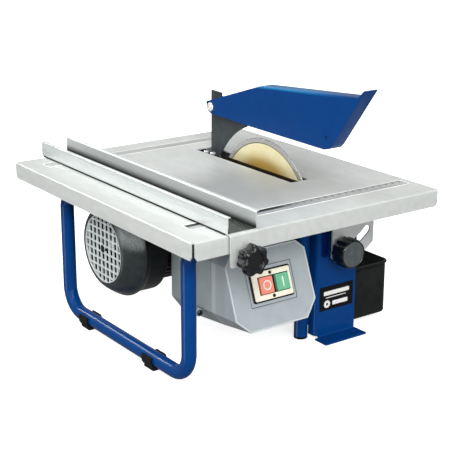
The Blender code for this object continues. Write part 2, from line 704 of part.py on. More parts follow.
# ---------------------------------------------------------------- guard and riving knife
def build_guard():
    """Folded blue sheet: two cheeks, a top web in front of the peak and a front web with a lip."""
    y, z = GUARD_PIVOT
    outline = [
        (y - 0.0010, z - 0.0088), (y + 0.0055, z - 0.0065), (y + 0.0090, z - 0.0010),
        (y + 0.0100, z + 0.0055), (-0.0015, 0.2710), (-0.1708, 0.2852), (-0.1791, 0.2933),
        (-0.1818, 0.2930), (-0.1325, 0.2262), (-0.1270, 0.2205), (-0.1183, 0.2181), (0.0205, 0.2190),
    ]
    cavity = [
        (0.130, 0.190), (0.130, 0.300), (0.001, 0.300), (0.001, 0.2697), (-0.1690, 0.2839),
        (-0.1300, 0.2275), (-0.1255, 0.2222), (-0.1180, 0.2196), (-0.1100, 0.2190), (-0.1100, 0.190),
    ]
    wide = GUARD_HALF_WIDTH
    slim = wide - GUARD_SHEET
    guard = meshed(plate("guard", [outline], BLADE_X - wide, BLADE_X + wide, BLUE, guard_axis, "X"))
    inside = meshed(plate("guard_cavity", [cavity], BLADE_X - slim, BLADE_X + slim, BLUE, guard_axis, "X"))
    bolt_hole = rod("guard_bolt_hole", 0.0033, 0.050, 0.090, BLUE, guard_axis, (0, y, z), "X", 16)
    drip_hole = rod("guard_small_hole", 0.0015, 0.050, 0.064, BLUE, guard_axis, (0, -0.1215, 0.2325),
                    "X", 12)
    cut(guard, inside, bolt_hole, drip_hole)
    left = BLADE_X - wide - GAP
    right = BLADE_X + wide + GAP
    bolt = [(0, 0.0835), (0.0030, 0.0835), (0.0030, left), (0.0058, left), (0.0052, left - 0.0030),
            (0.0030, left - 0.0042), (0, left - 0.0042)]
    turned("guard_bolt", bolt, STEEL, guard_axis, (0, y, z), "X", 20)
    knob = meshed(plate("guard_knob", [lobed(0.0098, 0.0014, 6, 6)], right + 0.003, right + 0.0125,
                        BLACK_PLASTIC, guard_axis, "X", (0, y, z)))
    collar = rod("guard_knob_collar", 0.0070, right, right + 0.0040, BLACK_PLASTIC, guard_axis, (0, y, z))
    bore = rod("guard_knob_bore", 0.0033, right - 0.002, 0.0840, BLACK_PLASTIC, guard_axis, (0, y, z))
    weld(knob, collar)
    cut(knob, bore)


def build_knife():
    """Riving knife that follows the blade's edge, its folded foot screwed to a ledge on the column."""
    y, z = GUARD_PIVOT
    foot_z = 0.1665
    half = KNIFE_THICKNESS / 2
    ledge_left, ledge_right = 0.0507, BLADE_X - half - 0.0006
    outline = [(0.1105, foot_z), (0.1105, 0.2480), (0.0890, 0.2476), (0.0890, 0.2440), (0.0440, 0.2300)]
    outline += arc(0, AXLE_Z, KNIFE_ARC, 70, 29, 12)
    knife = meshed(plate("riving_knife", [outline, circle(y, z, 0.0033, 16)], BLADE_X - half,
                         BLADE_X + half, DARK_STEEL, saw, "X"))
    bolts = ((0.0580, 0.1085), (0.0600, 0.0970))
    holes = [circle(*bolt, 0.0023, 12) for bolt in bolts]
    foot_right = BLADE_X - half + 0.0005
    foot = [(ledge_left, 0.0915), (foot_right, 0.0915), (foot_right, 0.1105), (0.0640, 0.1150),
            (ledge_left, 0.1150)]
    weld(knife, meshed(plate("knife_foot", [foot] + holes, foot_z, foot_z + 0.0018, DARK_STEEL, saw, "Z")))
    ledge_top = foot_z - GAP
    ledge = [(ledge_left, 0.0890), (ledge_right, 0.0890), (ledge_right, 0.1298), (ledge_left, 0.1298)]
    bracket = meshed(plate("knife_bracket", [ledge] + holes, ledge_top - 0.0030, ledge_top, DARK_STEEL,
                           saw, "Z"))
    leg = box("bracket_leg", (0.0570, 0.1270, 0.1145), (0.0640, 0.1302, ledge_top - 0.0005), DARK_STEEL, saw)
    weld(bracket, leg)
    head = foot_z + 0.0018 + GAP
    for number, (bolt_x, bolt_y) in enumerate(bolts, 1):
        bolt = [(0, head + 0.0026), (0.0030, head + 0.0026), (0.0036, head + 0.0018), (0.0036, head),
                (0.0020, head), (0.0020, 0.1590), (0, 0.1590)]
        turned("knife_bolt_%d" % number, bolt, ZINC, saw, (bolt_x, bolt_y, 0), "Z", 12)


# ---------------------------------------------------------------- switch box
def leaning_y(z):
    """Depth of the switch box's leaning face at a height."""
    return BOX_BROW_Y - math.tan(BOX_LEAN) * (BOX_TOP - z)


def box_section(floor_z, left_z):
    """Eight-cornered section of the switch box, with the heights of its floor and lower left corner."""
    return [
        (-0.0055, BOX_TOP), (0.0045, 0.1253), (0.0055, floor_z + 0.0172), (-0.0098, floor_z),
        (-0.0864, floor_z), (-0.1020, left_z), (-0.1020, 0.1225), (-0.0930, BOX_TOP),
    ]


def half_shell(name, near, far, look):
    """Open box lofted between two sections, closed by its first section."""
    mesh = bpy.data.meshes.new(name)
    shape = bmesh.new()
    count = len(near)
    first = [shape.verts.new(p) for p in near]
    last = [shape.verts.new(p) for p in far]
    closing = shape.faces.new(first)
    for i in range(count):
        j = (i + 1) % count
        shape.faces.new((first[j], first[i], last[i], last[j]))
    shape.normal_update()
    if closing.normal.dot(last[0].co - first[0].co) > 0:
        bmesh.ops.reverse_faces(shape, faces=shape.faces)
    shape.to_mesh(mesh)
    shape.free()
    obj = add(name, mesh, look, saw)
    shell = obj.modifiers.new("wall", "SOLIDIFY")
    shell.thickness = 0.0025
    shell.offset = -1
    shell.use_even_offset = True
    return obj


def build_switch_box():
    split = -0.1295                     # y of the seam between the two shells
    front_section = box_section(0.0548, 0.0685)
    seam_section = box_section(0.0482, 0.0662)
    rear_section = box_section(0.0400, 0.0610)
    face = [(x, leaning_y(z), z) for x, z in front_section]
    seam = [(x, split, z) for x, z in seam_section]
    front = half_shell("switch_box_front", face, seam, GREY_PLASTIC)
    window = box("switch_window", (-0.022, -0.006, -0.012), (0.022, 0.006, 0.012), GREY_PLASTIC, saw)
    lean_into_panel(window, SWITCH_X, 0, SWITCH_Z)
    cut(front, window)
    seam = [(x, split + GAP, z) for x, z in seam_section]
    back = [(x, BOX_REAR, z) for x, z in rear_section]
    half_shell("switch_box_rear", back, seam, GREY_PLASTIC)
    rod("run_capacitor", 0.0165, -0.082, -0.014, ZINC, saw, (0, -0.0880, 0.094), "X", 24)
    gland = [(0, 0.0180), (0.0050, 0.0180), (0.0075, 0.0150), (0.0095, 0.0080), (0.0095, 0.0055 + GAP),
             (0, 0.0055 + GAP)]
    turned("cable_gland", gland, BLACK_PLASTIC, saw, (0, -0.0900, 0.078), "X", 20)


def lean_into_panel(obj, x, inward, z):
    """Turn an object to the leaning face and stand it at a height on that face."""
    obj.location = (x, leaning_y(z) + inward * math.cos(BOX_LEAN), z - inward * math.sin(BOX_LEAN))
    obj.rotation_euler = (-BOX_LEAN, 0, 0)


def build_switch():
    """Bezel, contact block and two push buttons, square to the leaning face."""
    width, height = 0.0510, 0.0310
    button = 0.0166
    tall = 0.0178
    places = {"button_off": (-0.0084, RED), "button_on": (0.0127, GREEN)}
    bezel = box("switch_bezel", (-width / 2, -0.0015, -height / 2), (width / 2, 0.0015, height / 2),
                CREAM, saw)
    lean_into_panel(bezel, SWITCH_X, -0.0018, SWITCH_Z)
    bevel(bezel, 0.0008, 1)
    for name, (shift, look) in places.items():
        opening = box(name + "_opening", (-button / 2 - 0.0004, -0.004, -tall / 2 - 0.0004),
                      (button / 2 + 0.0004, 0.004, tall / 2 + 0.0004), CREAM, saw)
        lean_into_panel(opening, SWITCH_X + shift, -0.0018, SWITCH_Z)
        cut(bezel, opening)
        pivot = empty(name + "_slide", (SWITCH_X + shift, leaning_y(SWITCH_Z), SWITCH_Z), saw)
        key = box(name, (-button / 2, -0.0035, -tall / 2), (button / 2, 0.0035, tall / 2), look, pivot)
        lean_into_panel(key, SWITCH_X + shift, -0.0018, SWITCH_Z)
        bevel(key, 0.0007, 1)
    block = box("switch_body", (-0.0215, -0.0115, -0.0115), (0.0215, 0.0115, 0.0115), BLACK_PLASTIC, saw)
    lean_into_panel(block, SWITCH_X, 0.0165, SWITCH_Z)


# ---------------------------------------------------------------- tank
def build_tank():
    """Open tray with a flat rim and two runners that stand on the floor."""
    left, right, half = 0.0520, 0.1590, 0.1245
    low, high = 0.0055, 0.0690
    mesh = bpy.data.meshes.new("water_tank")
    shape = bmesh.new()
    bmesh.ops.create_cube(shape, size=1.0)
    bmesh.ops.scale(shape, vec=(right - left, 2 * half, high - low), verts=shape.verts)
    upright = [e for e in shape.edges if abs(e.verts[0].co.z - e.verts[1].co.z) > 0.01]
    bmesh.ops.bevel(shape, geom=upright, offset=0.008, segments=3, affect="EDGES", profile=0.5)
    lid = [f for f in shape.faces if f.normal.z > 0.5]
    bmesh.ops.delete(shape, geom=lid, context="FACES_ONLY")
    brim = [e for e in shape.edges if e.is_boundary]
    pulled = bmesh.ops.extrude_edge_only(shape, edges=brim)
    moved = [v for v in pulled["geom"] if isinstance(v, bmesh.types.BMVert)]
    rim = 0.0020
    bmesh.ops.scale(shape, vec=(1 + 2 * rim / (right - left), 1 + rim / half, 1), verts=moved)
    bmesh.ops.recalc_face_normals(shape, faces=shape.faces)
    bottom = min(shape.faces, key=lambda f: f.calc_center_median().z)
    if bottom.normal.z > 0:
        bmesh.ops.reverse_faces(shape, faces=shape.faces)
    shape.to_mesh(mesh)
    shape.free()
    tank = add("water_tank", mesh, BLACK_PLASTIC, saw, ((left + right) / 2, 0, (low + high) / 2))
    shell = tank.modifiers.new("wall", "SOLIDIFY")
    shell.thickness = 0.0020
    shell.offset = -1
    shell.use_even_offset = True
    for y in (-0.075, 0.075):
        runner = box("tank_runner", (left + 0.012, y - 0.006, 0), (right - 0.012, y + 0.006, low + 0.001),
                     BLACK_PLASTIC, saw)
        weld(tank, runner)
    return tank


# ---------------------------------------------------------------- whole saw
build_frame()
build_motor_plate()
build_splash_shield()
build_motor()
build_spindle()
build_table()
for side in (-1, 1):
    build_column(side)
    build_tilt_hardware(side)
    build_quadrant(side)
    build_tilt_knob(side)
build_fence()
build_fence_knob()
build_guard()
build_knife()
build_switch_box()
build_switch()
build_tank()
bpy.context.view_layer.update()
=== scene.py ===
"""Looks of the tile cutter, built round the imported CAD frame. Metres, +Z up, operator at -Y."""
import math

import bmesh
import bpy
from mathutils import Matrix, Vector


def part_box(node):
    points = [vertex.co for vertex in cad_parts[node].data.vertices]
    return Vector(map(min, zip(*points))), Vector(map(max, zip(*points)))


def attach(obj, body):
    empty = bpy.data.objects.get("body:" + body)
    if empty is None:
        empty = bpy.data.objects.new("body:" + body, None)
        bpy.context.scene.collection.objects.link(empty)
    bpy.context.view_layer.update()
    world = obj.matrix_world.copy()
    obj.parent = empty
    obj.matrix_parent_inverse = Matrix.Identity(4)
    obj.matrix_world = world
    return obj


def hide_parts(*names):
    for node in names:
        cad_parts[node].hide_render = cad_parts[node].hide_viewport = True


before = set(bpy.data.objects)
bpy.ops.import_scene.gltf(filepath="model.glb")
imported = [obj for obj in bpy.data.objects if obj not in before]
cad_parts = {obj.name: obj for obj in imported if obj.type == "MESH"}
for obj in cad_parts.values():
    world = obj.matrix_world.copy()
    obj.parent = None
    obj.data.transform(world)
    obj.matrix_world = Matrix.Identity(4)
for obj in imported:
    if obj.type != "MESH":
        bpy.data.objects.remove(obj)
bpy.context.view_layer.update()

# ---------------------------------------------------------------- places taken from the CAD
table_low, table_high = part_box("table_top")
CENTRE_Y = (table_low.y + table_high.y) / 2
TABLE_TOP = table_high.z
HALF_WIDTH = table_high.x
HALF_DEPTH = (table_high.y - table_low.y) / 2
blade_low, blade_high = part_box("diamond_blade")
BLADE_X = (blade_low.x + blade_high.x) / 2
BLADE_RADIUS = (blade_high.z - blade_low.z) / 2
AXLE_Z = (blade_low.z + blade_high.z) / 2
HOUSING_Z = AXLE_Z - 0.004      # the fan cover and its collar hang a little below the shaft
TILT_Z = TABLE_TOP - 0.010      # tilt pivot
STUD_Z = TILT_Z - 0.056         # studs of the two tilt knobs
COLUMN_Y = 0.1325               # outer faces of the columns
QUADRANT_Y = 0.1400             # outer faces of the tilt plates
FENCE_X = sum(c.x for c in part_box("fence_clamp")) / 2
FENCE_HALF = 0.018
GUARD_PIVOT = (0.0995, 0.2292)  # y, z
GUARD_PEAK = (-0.0015, 0.2710)
GUARD_NOSE = (-0.1708, 0.2852)
SHEET = 0.0013                  # fence sheet
BOX_LEAN = math.radians(20.5)   # the switch box's face leans back at its top
BOX_TOP = 0.134
BOX_BROW_Y = -0.1502            # the leaning face at its top edge
SWITCH_X, SWITCH_Z = -0.0486, 0.0971
OFF_KEY, ON_KEY = -0.0084, 0.0127   # the two keys, left and right of the switch's middle
LEG_X = -0.149


# ---------------------------------------------------------------- camera and light
def build_camera():
    yaw, pitch, roll = (math.radians(a) for a in (35.789, 17.631, 0.146))
    forward = Vector((math.sin(yaw) * math.cos(pitch), math.cos(yaw) * math.cos(pitch), -math.sin(pitch)))
    level = Vector((math.cos(yaw), -math.sin(yaw), 0))
    upright = level.cross(forward)
    right = level * math.cos(roll) + upright * math.sin(roll)
    up = upright * math.cos(roll) - level * math.sin(roll)
    data = bpy.data.cameras.new("camera")
    data.sensor_width = 36
    data.lens = 93.35
    data.clip_start, data.clip_end = 0.05, 60
    camera = bpy.data.objects.new("camera", data)
    turn = Matrix((right, up, -forward)).transposed().to_4x4()
    camera.matrix_world = Matrix.Translation((-0.76889, -1.07449, 0.53077)) @ turn
    bpy.context.scene.collection.objects.link(camera)
    bpy.context.scene.camera = camera


def area_light(name, place, aim, width, height, watts, colour=(1, 1, 1)):
    data = bpy.data.lights.new(name, "AREA")
    data.shape = "RECTANGLE"
    data.size, data.size_y = width, height
    data.energy = watts
    data.color = colour
    light = bpy.data.objects.new(name, data)
    light.location = place
    light.rotation_mode = "QUATERNION"
    light.rotation_quaternion = (Vector(aim) - Vector(place)).to_track_quat("-Z", "Y")
    bpy.context.scene.collection.objects.link(light)


def build_world():
    """Grey surroundings, paler upwards, with one bright window low on the left."""
    world = bpy.data.worlds.new("studio")
    bpy.context.scene.world = world
    world.use_nodes = True
    nodes, links = world.node_tree.nodes, world.node_tree.links
    nodes.clear()
    out = nodes.new("ShaderNodeOutputWorld")
    back = nodes.new("ShaderNodeBackground")
    where = nodes.new("ShaderNodeTexCoord")
    split = nodes.new("ShaderNodeSeparateXYZ")
    ramp = nodes.new("ShaderNodeValToRGB")
    links.new(where.outputs["Generated"], split.inputs[0])
    links.new(split.outputs["Z"], ramp.inputs[0])
    ramp.color_ramp.elements[0].position = 0.0
    ramp.color_ramp.elements[0].color = (0.30, 0.30, 0.305, 1)
    ramp.color_ramp.elements[1].position = 0.8
    ramp.color_ramp.elements[1].color = (0.62, 0.62, 0.62, 1)
    facing = nodes.new("ShaderNodeVectorMath")
    facing.operation = "DOT_PRODUCT"
    facing.inputs[1].default_value = Vector((-0.91, 0.27, -0.31)).normalized()
    window = nodes.new("ShaderNodeMapRange")
    window.inputs["From Min"].default_value = 0.965
    window.inputs["From Max"].default_value = 0.985
    window.inputs["To Min"].default_value = 1.0
    window.inputs["To Max"].default_value = 16.0
    links.new(where.outputs["Generated"], facing.inputs[0])
    links.new(facing.outputs["Value"], window.inputs["Value"])
    links.new(ramp.outputs[0], back.inputs["Color"])
    links.new(window.outputs["Result"], back.inputs["Strength"])
    links.new(back.outputs[0], out.inputs[0])


def build_lights():
    aim = (0, 0, 0.1)
    area_light("key", (-1.0, -1.7, 1.5), aim, 1.0, 1.0, 29)
    area_light("fill", (-0.5, -2.3, 0.7), aim, 1.6, 0.8, 20)
    area_light("top", (-0.3, 0.5, 2.1), aim, 1.4, 0.4, 10)
    area_light("left", (-2.0, 0.3, 0.9), aim, 0.9, 0.9, 5)
    area_light("rim", (-0.7, 1.9, 1.4), aim, 0.9, 0.12, 12)
    area_light("strip", (-1.7, -0.5, 0.9), aim, 0.05, 1.7, 8)


def build_floor():
    """Plain white floor that takes the shadow but is not seen in the steel."""
    mesh = bpy.data.meshes.new("floor")
    reach = 14
    mesh.from_pydata([(-reach, -reach, 0), (reach, -reach, 0), (reach, reach, 0), (-reach, reach, 0)],
                     [], [(0, 1, 2, 3)])
    floor = bpy.data.objects.new("floor", mesh)
    floor.location.z = -0.0003
    bpy.context.scene.collection.objects.link(floor)
    look = bpy.data.materials.new("floor_white")
    look.use_nodes = True
    shader = look.node_tree.nodes["Principled BSDF"]
    shader.inputs["Base Color"].default_value = (0.9, 0.9, 0.9, 1)
    shader.inputs["Roughness"].default_value = 0.9
    shader.inputs["Specular IOR Level"].default_value = 0.0
    shader.inputs["Emission Color"].default_value = (1, 1, 1, 1)
    shader.inputs["Emission Strength"].default_value = 0.74
    mesh.materials.append(look)
    floor.visible_diffuse = False
    floor.visible_glossy = False


# ---------------------------------------------------------------- materials
class Look:
    """A node material: two tones mixed by noise, uneven roughness and a fine bump."""

    def __init__(self, name, tones, roughness, metallic=0.0, grain=400.0, stretch=(1, 1, 1), bump=0.05,
                 bump_grain=2500.0, specular=0.5, coat=0.0, mottle=0.5):
        self.material = bpy.data.materials.new(name)
        self.material.use_nodes = True
        self.nodes = self.material.node_tree.nodes
        self.links = self.material.node_tree.links
        self.shader = self.nodes["Principled BSDF"]
        self.shader.inputs["Metallic"].default_value = metallic
        self.shader.inputs["Specular IOR Level"].default_value = specular
        self.shader.inputs["Coat Weight"].default_value = coat
        self.shader.inputs["Coat Roughness"].default_value = 0.12
        self.where = self.nodes.new("ShaderNodeTexCoord").outputs["Object"]
        streak = self.mapped(stretch)
        self.tone = self.noise(streak, grain, 4, mottle)
        self.colour = self.mix(self.ramp(self.tone, 0.3, 0.7), tones[0], tones[1])
        self.links.new(self.colour, self.shader.inputs["Base Color"])
        self.links.new(self.spread(self.tone, *roughness), self.shader.inputs["Roughness"])
        self.fine = self.noise(streak, bump_grain, 3, 0.6)
        self.relief = self.nodes.new("ShaderNodeBump")
        self.relief.inputs["Strength"].default_value = bump
        self.relief.inputs["Distance"].default_value = 0.0004
        self.links.new(self.fine, self.relief.inputs["Height"])
        self.links.new(self.relief.outputs["Normal"], self.shader.inputs["Normal"])

    def mapped(self, scale):
        node = self.nodes.new("ShaderNodeMapping")
        node.inputs["Scale"].default_value = scale
        self.links.new(self.where, node.inputs["Vector"])
        return node.outputs[0]

    def noise(self, vector, scale, detail=3, roughness=0.5):
        node = self.nodes.new("ShaderNodeTexNoise")
        node.inputs["Scale"].default_value = scale
        node.inputs["Detail"].default_value = detail
        node.inputs["Roughness"].default_value = roughness
        self.links.new(vector, node.inputs["Vector"])
        return node.outputs["Fac"]

    def ranged(self, value, limits, curve):
        """Map a value from one range to another; limits are from low, from high, to low, to high."""
        node = self.nodes.new("ShaderNodeMapRange")
        node.interpolation_type = curve
        for name, limit in zip(("From Min", "From Max", "To Min", "To Max"), limits):
            node.inputs[name].default_value = limit
        self.links.new(value, node.inputs["Value"])
        return node.outputs["Result"]

    def ramp(self, value, low, high):
        return self.ranged(value, (low, high, 0.0, 1.0), "SMOOTHSTEP")

    def spread(self, value, low, high):
        return self.ranged(value, (0.3, 0.7, low, high), "LINEAR")

    def mix(self, factor, first, second):
        """Mix two colours, each a tuple or an output."""
        node = self.nodes.new("ShaderNodeMix")
        node.data_type = "RGBA"
        self.links.new(factor, node.inputs["Factor"])
        sockets = [s for s in node.inputs if s.type == "RGBA"]
        for socket, value in zip(sockets, (first, second)):
            if isinstance(value, tuple):
                socket.default_value = (*value, 1)
            else:
                self.links.new(value, socket)
        return [s for s in node.outputs if s.type == "RGBA"][0]

    def math(self, operation, a, b=None):
        node = self.nodes.new("ShaderNodeMath")
        node.operation = operation
        for socket, value in zip(node.inputs, (a, b)):
            if value is None:
                continue
            if isinstance(value, (int, float)):
                socket.default_value = value
            else:
                self.links.new(value, socket)
        return node.outputs[0]

    def plus(self, a, b):
        return self.math("ADD", a, b)

    def minus(self, a, b):
        return self.math("SUBTRACT", a, b)

    def times(self, a, b):
        return self.math("MULTIPLY", a, b)

    def axes(self):
        node = self.nodes.new("ShaderNodeSeparateXYZ")
        self.links.new(self.where, node.inputs[0])
        return node.outputs

    def paint(self, factor, colour):
        """Lay another colour over what is there."""
        self.colour = self.mix(factor, self.colour, colour)
        self.links.new(self.colour, self.shader.inputs["Base Color"])


BLUE = Look("blue_powder_coat", ((0.0010, 0.043, 0.190), (0.0012, 0.046, 0.202)), (0.20, 0.23), grain=60,
            bump=0.02, bump_grain=6000, specular=0.14)
# Darker copy of the blue paint: painted shade in the column recesses and the flange slots.
BLUE_SHADE = Look("blue_paint_shade", ((0.0012, 0.010, 0.075), (0.0015, 0.013, 0.090)), (0.40, 0.50), grain=60,
            bump=0.02, bump_grain=6000, specular=0.12)
TABLE = Look("table_sheet", ((0.68, 0.705, 0.68), (0.73, 0.755, 0.73)), (0.32, 0.40), metallic=0.30,
             grain=120, stretch=(1, 0.4, 1), bump=0.02, bump_grain=5000, mottle=0.45, specular=0.4)
FENCE = Look("fence_sheet", ((0.68, 0.72, 0.71), (0.74, 0.77, 0.76)), (0.26, 0.32), metallic=0.35,
             grain=140, stretch=(1, 0.02, 1), bump=0.02, bump_grain=5000, specular=0.4)
ZINC = Look("zinc_plate", ((0.66, 0.69, 0.68), (0.75, 0.77, 0.76)), (0.28, 0.42), metallic=0.45,
            grain=120, bump=0.04)
CHROME = Look("bright_bolt", ((0.70, 0.72, 0.74), (0.86, 0.87, 0.88)), (0.18, 0.28), metallic=0.6,
              grain=500, bump=0.04)
KNIFE = Look("black_steel", ((0.036, 0.044, 0.048), (0.052, 0.060, 0.065)), (0.36, 0.5), metallic=0.2,
             grain=90, bump=0.05, specular=0.3)
BLACK = Look("black_plastic", ((0.0045, 0.0055, 0.0058), (0.009, 0.010, 0.0105)), (0.30, 0.42), grain=150,
             bump=0.06, bump_grain=4500, specular=0.22)
COVER = Look("cover_plastic", ((0.018, 0.024, 0.025), (0.026, 0.033, 0.034)), (0.26, 0.34), grain=120,
             bump=0.16, bump_grain=1100, specular=0.4)
GLOSS = Look("gloss_black", ((0.004, 0.005, 0.0055), (0.007, 0.0085, 0.009)), (0.16, 0.22), grain=150,
             bump=0.02, bump_grain=4500, specular=0.5)
TANK = Look("tank_plastic", ((0.006, 0.0075, 0.007), (0.010, 0.012, 0.011)), (0.32, 0.42), grain=70,
            bump=0.05, bump_grain=4000, specular=0.2)
RUBBER = Look("black_rubber", ((0.004, 0.004, 0.004), (0.009, 0.009, 0.009)), (0.5, 0.7), grain=200,
              bump=0.12, bump_grain=3000, specular=0.15)
GREY = Look("grey_plastic", ((0.345, 0.385, 0.405), (0.380, 0.420, 0.440)), (0.46, 0.56), grain=50,
            bump=0.06, bump_grain=4500, specular=0.25)
# Darker copy of the grey plastic for the rear shell: painted shade.
GREY_SHADED = Look("grey_plastic_shaded", ((0.250, 0.290, 0.292), (0.280, 0.320, 0.322)), (0.46, 0.56), grain=50,
                 bump=0.06, bump_grain=4500, specular=0.2)
# Paler grey for the bead round the box face: painted highlight on its edge.
GREY_HIGHLIGHT = Look("grey_edge_highlight", ((0.52, 0.56, 0.57), (0.58, 0.62, 0.63)), (0.46, 0.56), grain=50, bump=0.04,
            bump_grain=4500, specular=0.25)
CREAM = Look("cream_plastic", ((0.80, 0.77, 0.62), (0.88, 0.85, 0.70)), (0.35, 0.45), grain=200, bump=0.02,
             specular=0.25)
RED = Look("red_key", ((0.82, 0.24, 0.17), (0.88, 0.30, 0.22)), (0.30, 0.42), grain=260, bump=0.02,
           specular=0.3)
GREEN = Look("green_key", ((0.13, 0.44, 0.25), (0.17, 0.50, 0.30)), (0.30, 0.42), grain=260, bump=0.02,
             specular=0.3)
# White for print, and for the rims round the rules as a painted highlight.
WHITE = Look("white_print_and_highlight", ((0.84, 0.83, 0.80), (0.90, 0.89, 0.86)), (0.4, 0.5), grain=300, bump=0.02)
# Dark brown-black for the sheet beside the blade: painted shade under the table.
BLADE_SHADE = Look("blade_slot_shade", ((0.010, 0.006, 0.003), (0.022, 0.014, 0.008)), (0.4, 0.5), grain=30,
                   stretch=(1, 0.05, 8), bump=0.03, specular=0.2)
LABEL = Look("label_film", ((0.003, 0.003, 0.004), (0.006, 0.006, 0.007)), (0.30, 0.40), grain=300,
             bump=0.02, specular=0.15)
GRILLE = Look("grille_grey", ((0.62, 0.66, 0.66), (0.72, 0.76, 0.76)), (0.32, 0.45), metallic=0.1,
              grain=260, bump=0.04, specular=0.3)
KNOB_FACE = Look("knob_insert", ((0.068, 0.080, 0.082), (0.086, 0.098, 0.100)), (0.40, 0.50), grain=180,
                 bump=0.03, specular=0.25)
COPPER = Look("winding", ((0.32, 0.13, 0.05), (0.50, 0.24, 0.11)), (0.35, 0.5), metallic=0.7,
              grain=1200, stretch=(0.1, 1, 1))


def blue_tones():
    """Shade under the table sheet, and a paler sheen along the top bend of the guard."""
    y, z = BLUE.axes()[1], BLUE.axes()[2]
    under = BLUE.times(BLUE.ramp(z, TABLE_TOP - 0.062, TABLE_TOP - 0.012),
                       BLUE.math("LESS_THAN", z, TABLE_TOP + 0.010))
    BLUE.paint(BLUE.times(under, 0.75), (0.0008, 0.014, 0.085))
    depth = BLUE.minus(y, CENTRE_Y)
    slope = (GUARD_NOSE[1] - GUARD_PEAK[1]) / (GUARD_NOSE[0] - GUARD_PEAK[0])
    ridge = BLUE.plus(BLUE.times(depth, slope), GUARD_PEAK[1] - slope * GUARD_PEAK[0])
    band = BLUE.ramp(BLUE.minus(z, ridge), -0.0034, -0.0012)
    fade = BLUE.times(BLUE.ramp(depth, -0.170, -0.060), BLUE.math("GREATER_THAN", z, 0.25))
    BLUE.paint(BLUE.times(BLUE.times(band, fade), 0.85), (0.015, 0.20, 0.48))


def table_tones():
    """Painted reflection: the sheet is duller away from its edges, over the middle of the tray."""
    x, y = TABLE.axes()[0], TABLE.axes()[1]
    off_middle = TABLE.math("ABSOLUTE", TABLE.minus(y, CENTRE_Y - 0.060))
    inward = TABLE.ramp(TABLE.times(off_middle, -1.0), -0.125, -0.020)
    clear = TABLE.ramp(TABLE.times(TABLE.math("ABSOLUTE", x), -1.0), -0.140, -0.040)
    cloud = TABLE.ramp(TABLE.noise(TABLE.where, 9, 2), 0.2, 0.8)
    # darker middle of the sheet: painted reflection
    painted_reflection = TABLE.times(TABLE.times(inward, clear), TABLE.plus(TABLE.times(cloud, 0.35), 0.55))
    TABLE.paint(painted_reflection, (0.32, 0.33, 0.315))


def fence_tones():
    """Shade in the channel: its floor and the foot of the inner walls are dull."""
    x, z = FENCE.axes()[0], FENCE.axes()[2]
    off = FENCE.math("ABSOLUTE", FENCE.minus(x, FENCE_X))
    inside = FENCE.math("LESS_THAN", off, 0.0175)
    low = FENCE.ramp(FENCE.times(z, -1.0), -TABLE_TOP - 0.0120, -TABLE_TOP - 0.0030)
    FENCE.paint(FENCE.times(inside, low), (0.030, 0.036, 0.028))


def cover_tones():
    """A speckled painted highlight on the shoulder and a black band behind the widest ring."""
    x, y, z = COVER.axes()[:3]
    gaps = [COVER.minus(value, middle)
            for value, middle in ((x, -0.140), (y, CENTRE_Y - 0.045), (z, 0.143))]
    squares = [COVER.times(gap, gap) for gap in gaps]
    away = COVER.plus(COVER.plus(squares[0], squares[1]), squares[2])
    # pale speckled patch on the shoulder: painted highlight
    sheen = COVER.ramp(COVER.times(away, -1.0), -0.00075, -0.00002)
    speckle = COVER.ramp(COVER.noise(COVER.where, 700, 2, 0.6), 0.30, 0.75)
    COVER.paint(COVER.times(sheen, COVER.plus(COVER.times(speckle, 0.5), 0.4)),
                (0.42, 0.46, 0.46))
    COVER.paint(COVER.ramp(x, -0.1360, -0.1352), (0.002, 0.002, 0.002))


blue_tones()
table_tones()
fence_tones()
cover_tones()


def blade_look():
    """Lacquered core, pale outside and deeper gold inside as a painted reflection, with a grey, gritty
    diamond rim.
    """
    look = Look("blade", ((0.86, 0.76, 0.44), (0.92, 0.84, 0.54)), (0.20, 0.28), metallic=0.25,
                grain=40, bump=0.02, bump_grain=3000)
    y, z = look.axes()[1], look.axes()[2]
    across = look.minus(y, CENTRE_Y)
    rise = look.minus(z, AXLE_Z)
    radius = look.math("SQRT", look.plus(look.times(across, across), look.times(rise, rise)))
    # deeper gold towards the middle: painted reflection
    look.paint(look.ramp(look.times(radius, -1.0), -0.078, -0.057), (0.52, 0.33, 0.07))
    look.paint(look.ramp(radius, BLADE_RADIUS - 0.0068, BLADE_RADIUS - 0.0062), (0.10, 0.085, 0.06))
    rim = look.ramp(radius, BLADE_RADIUS - 0.0058, BLADE_RADIUS - 0.0053)
    grit = look.noise(look.where, 1300, 2, 0.7)
    grey = look.mix(look.ramp(grit, 0.35, 0.65), (0.20, 0.19, 0.18), (0.66, 0.65, 0.62))
    look.paint(rim, grey)
    return look


BLADE = blade_look()


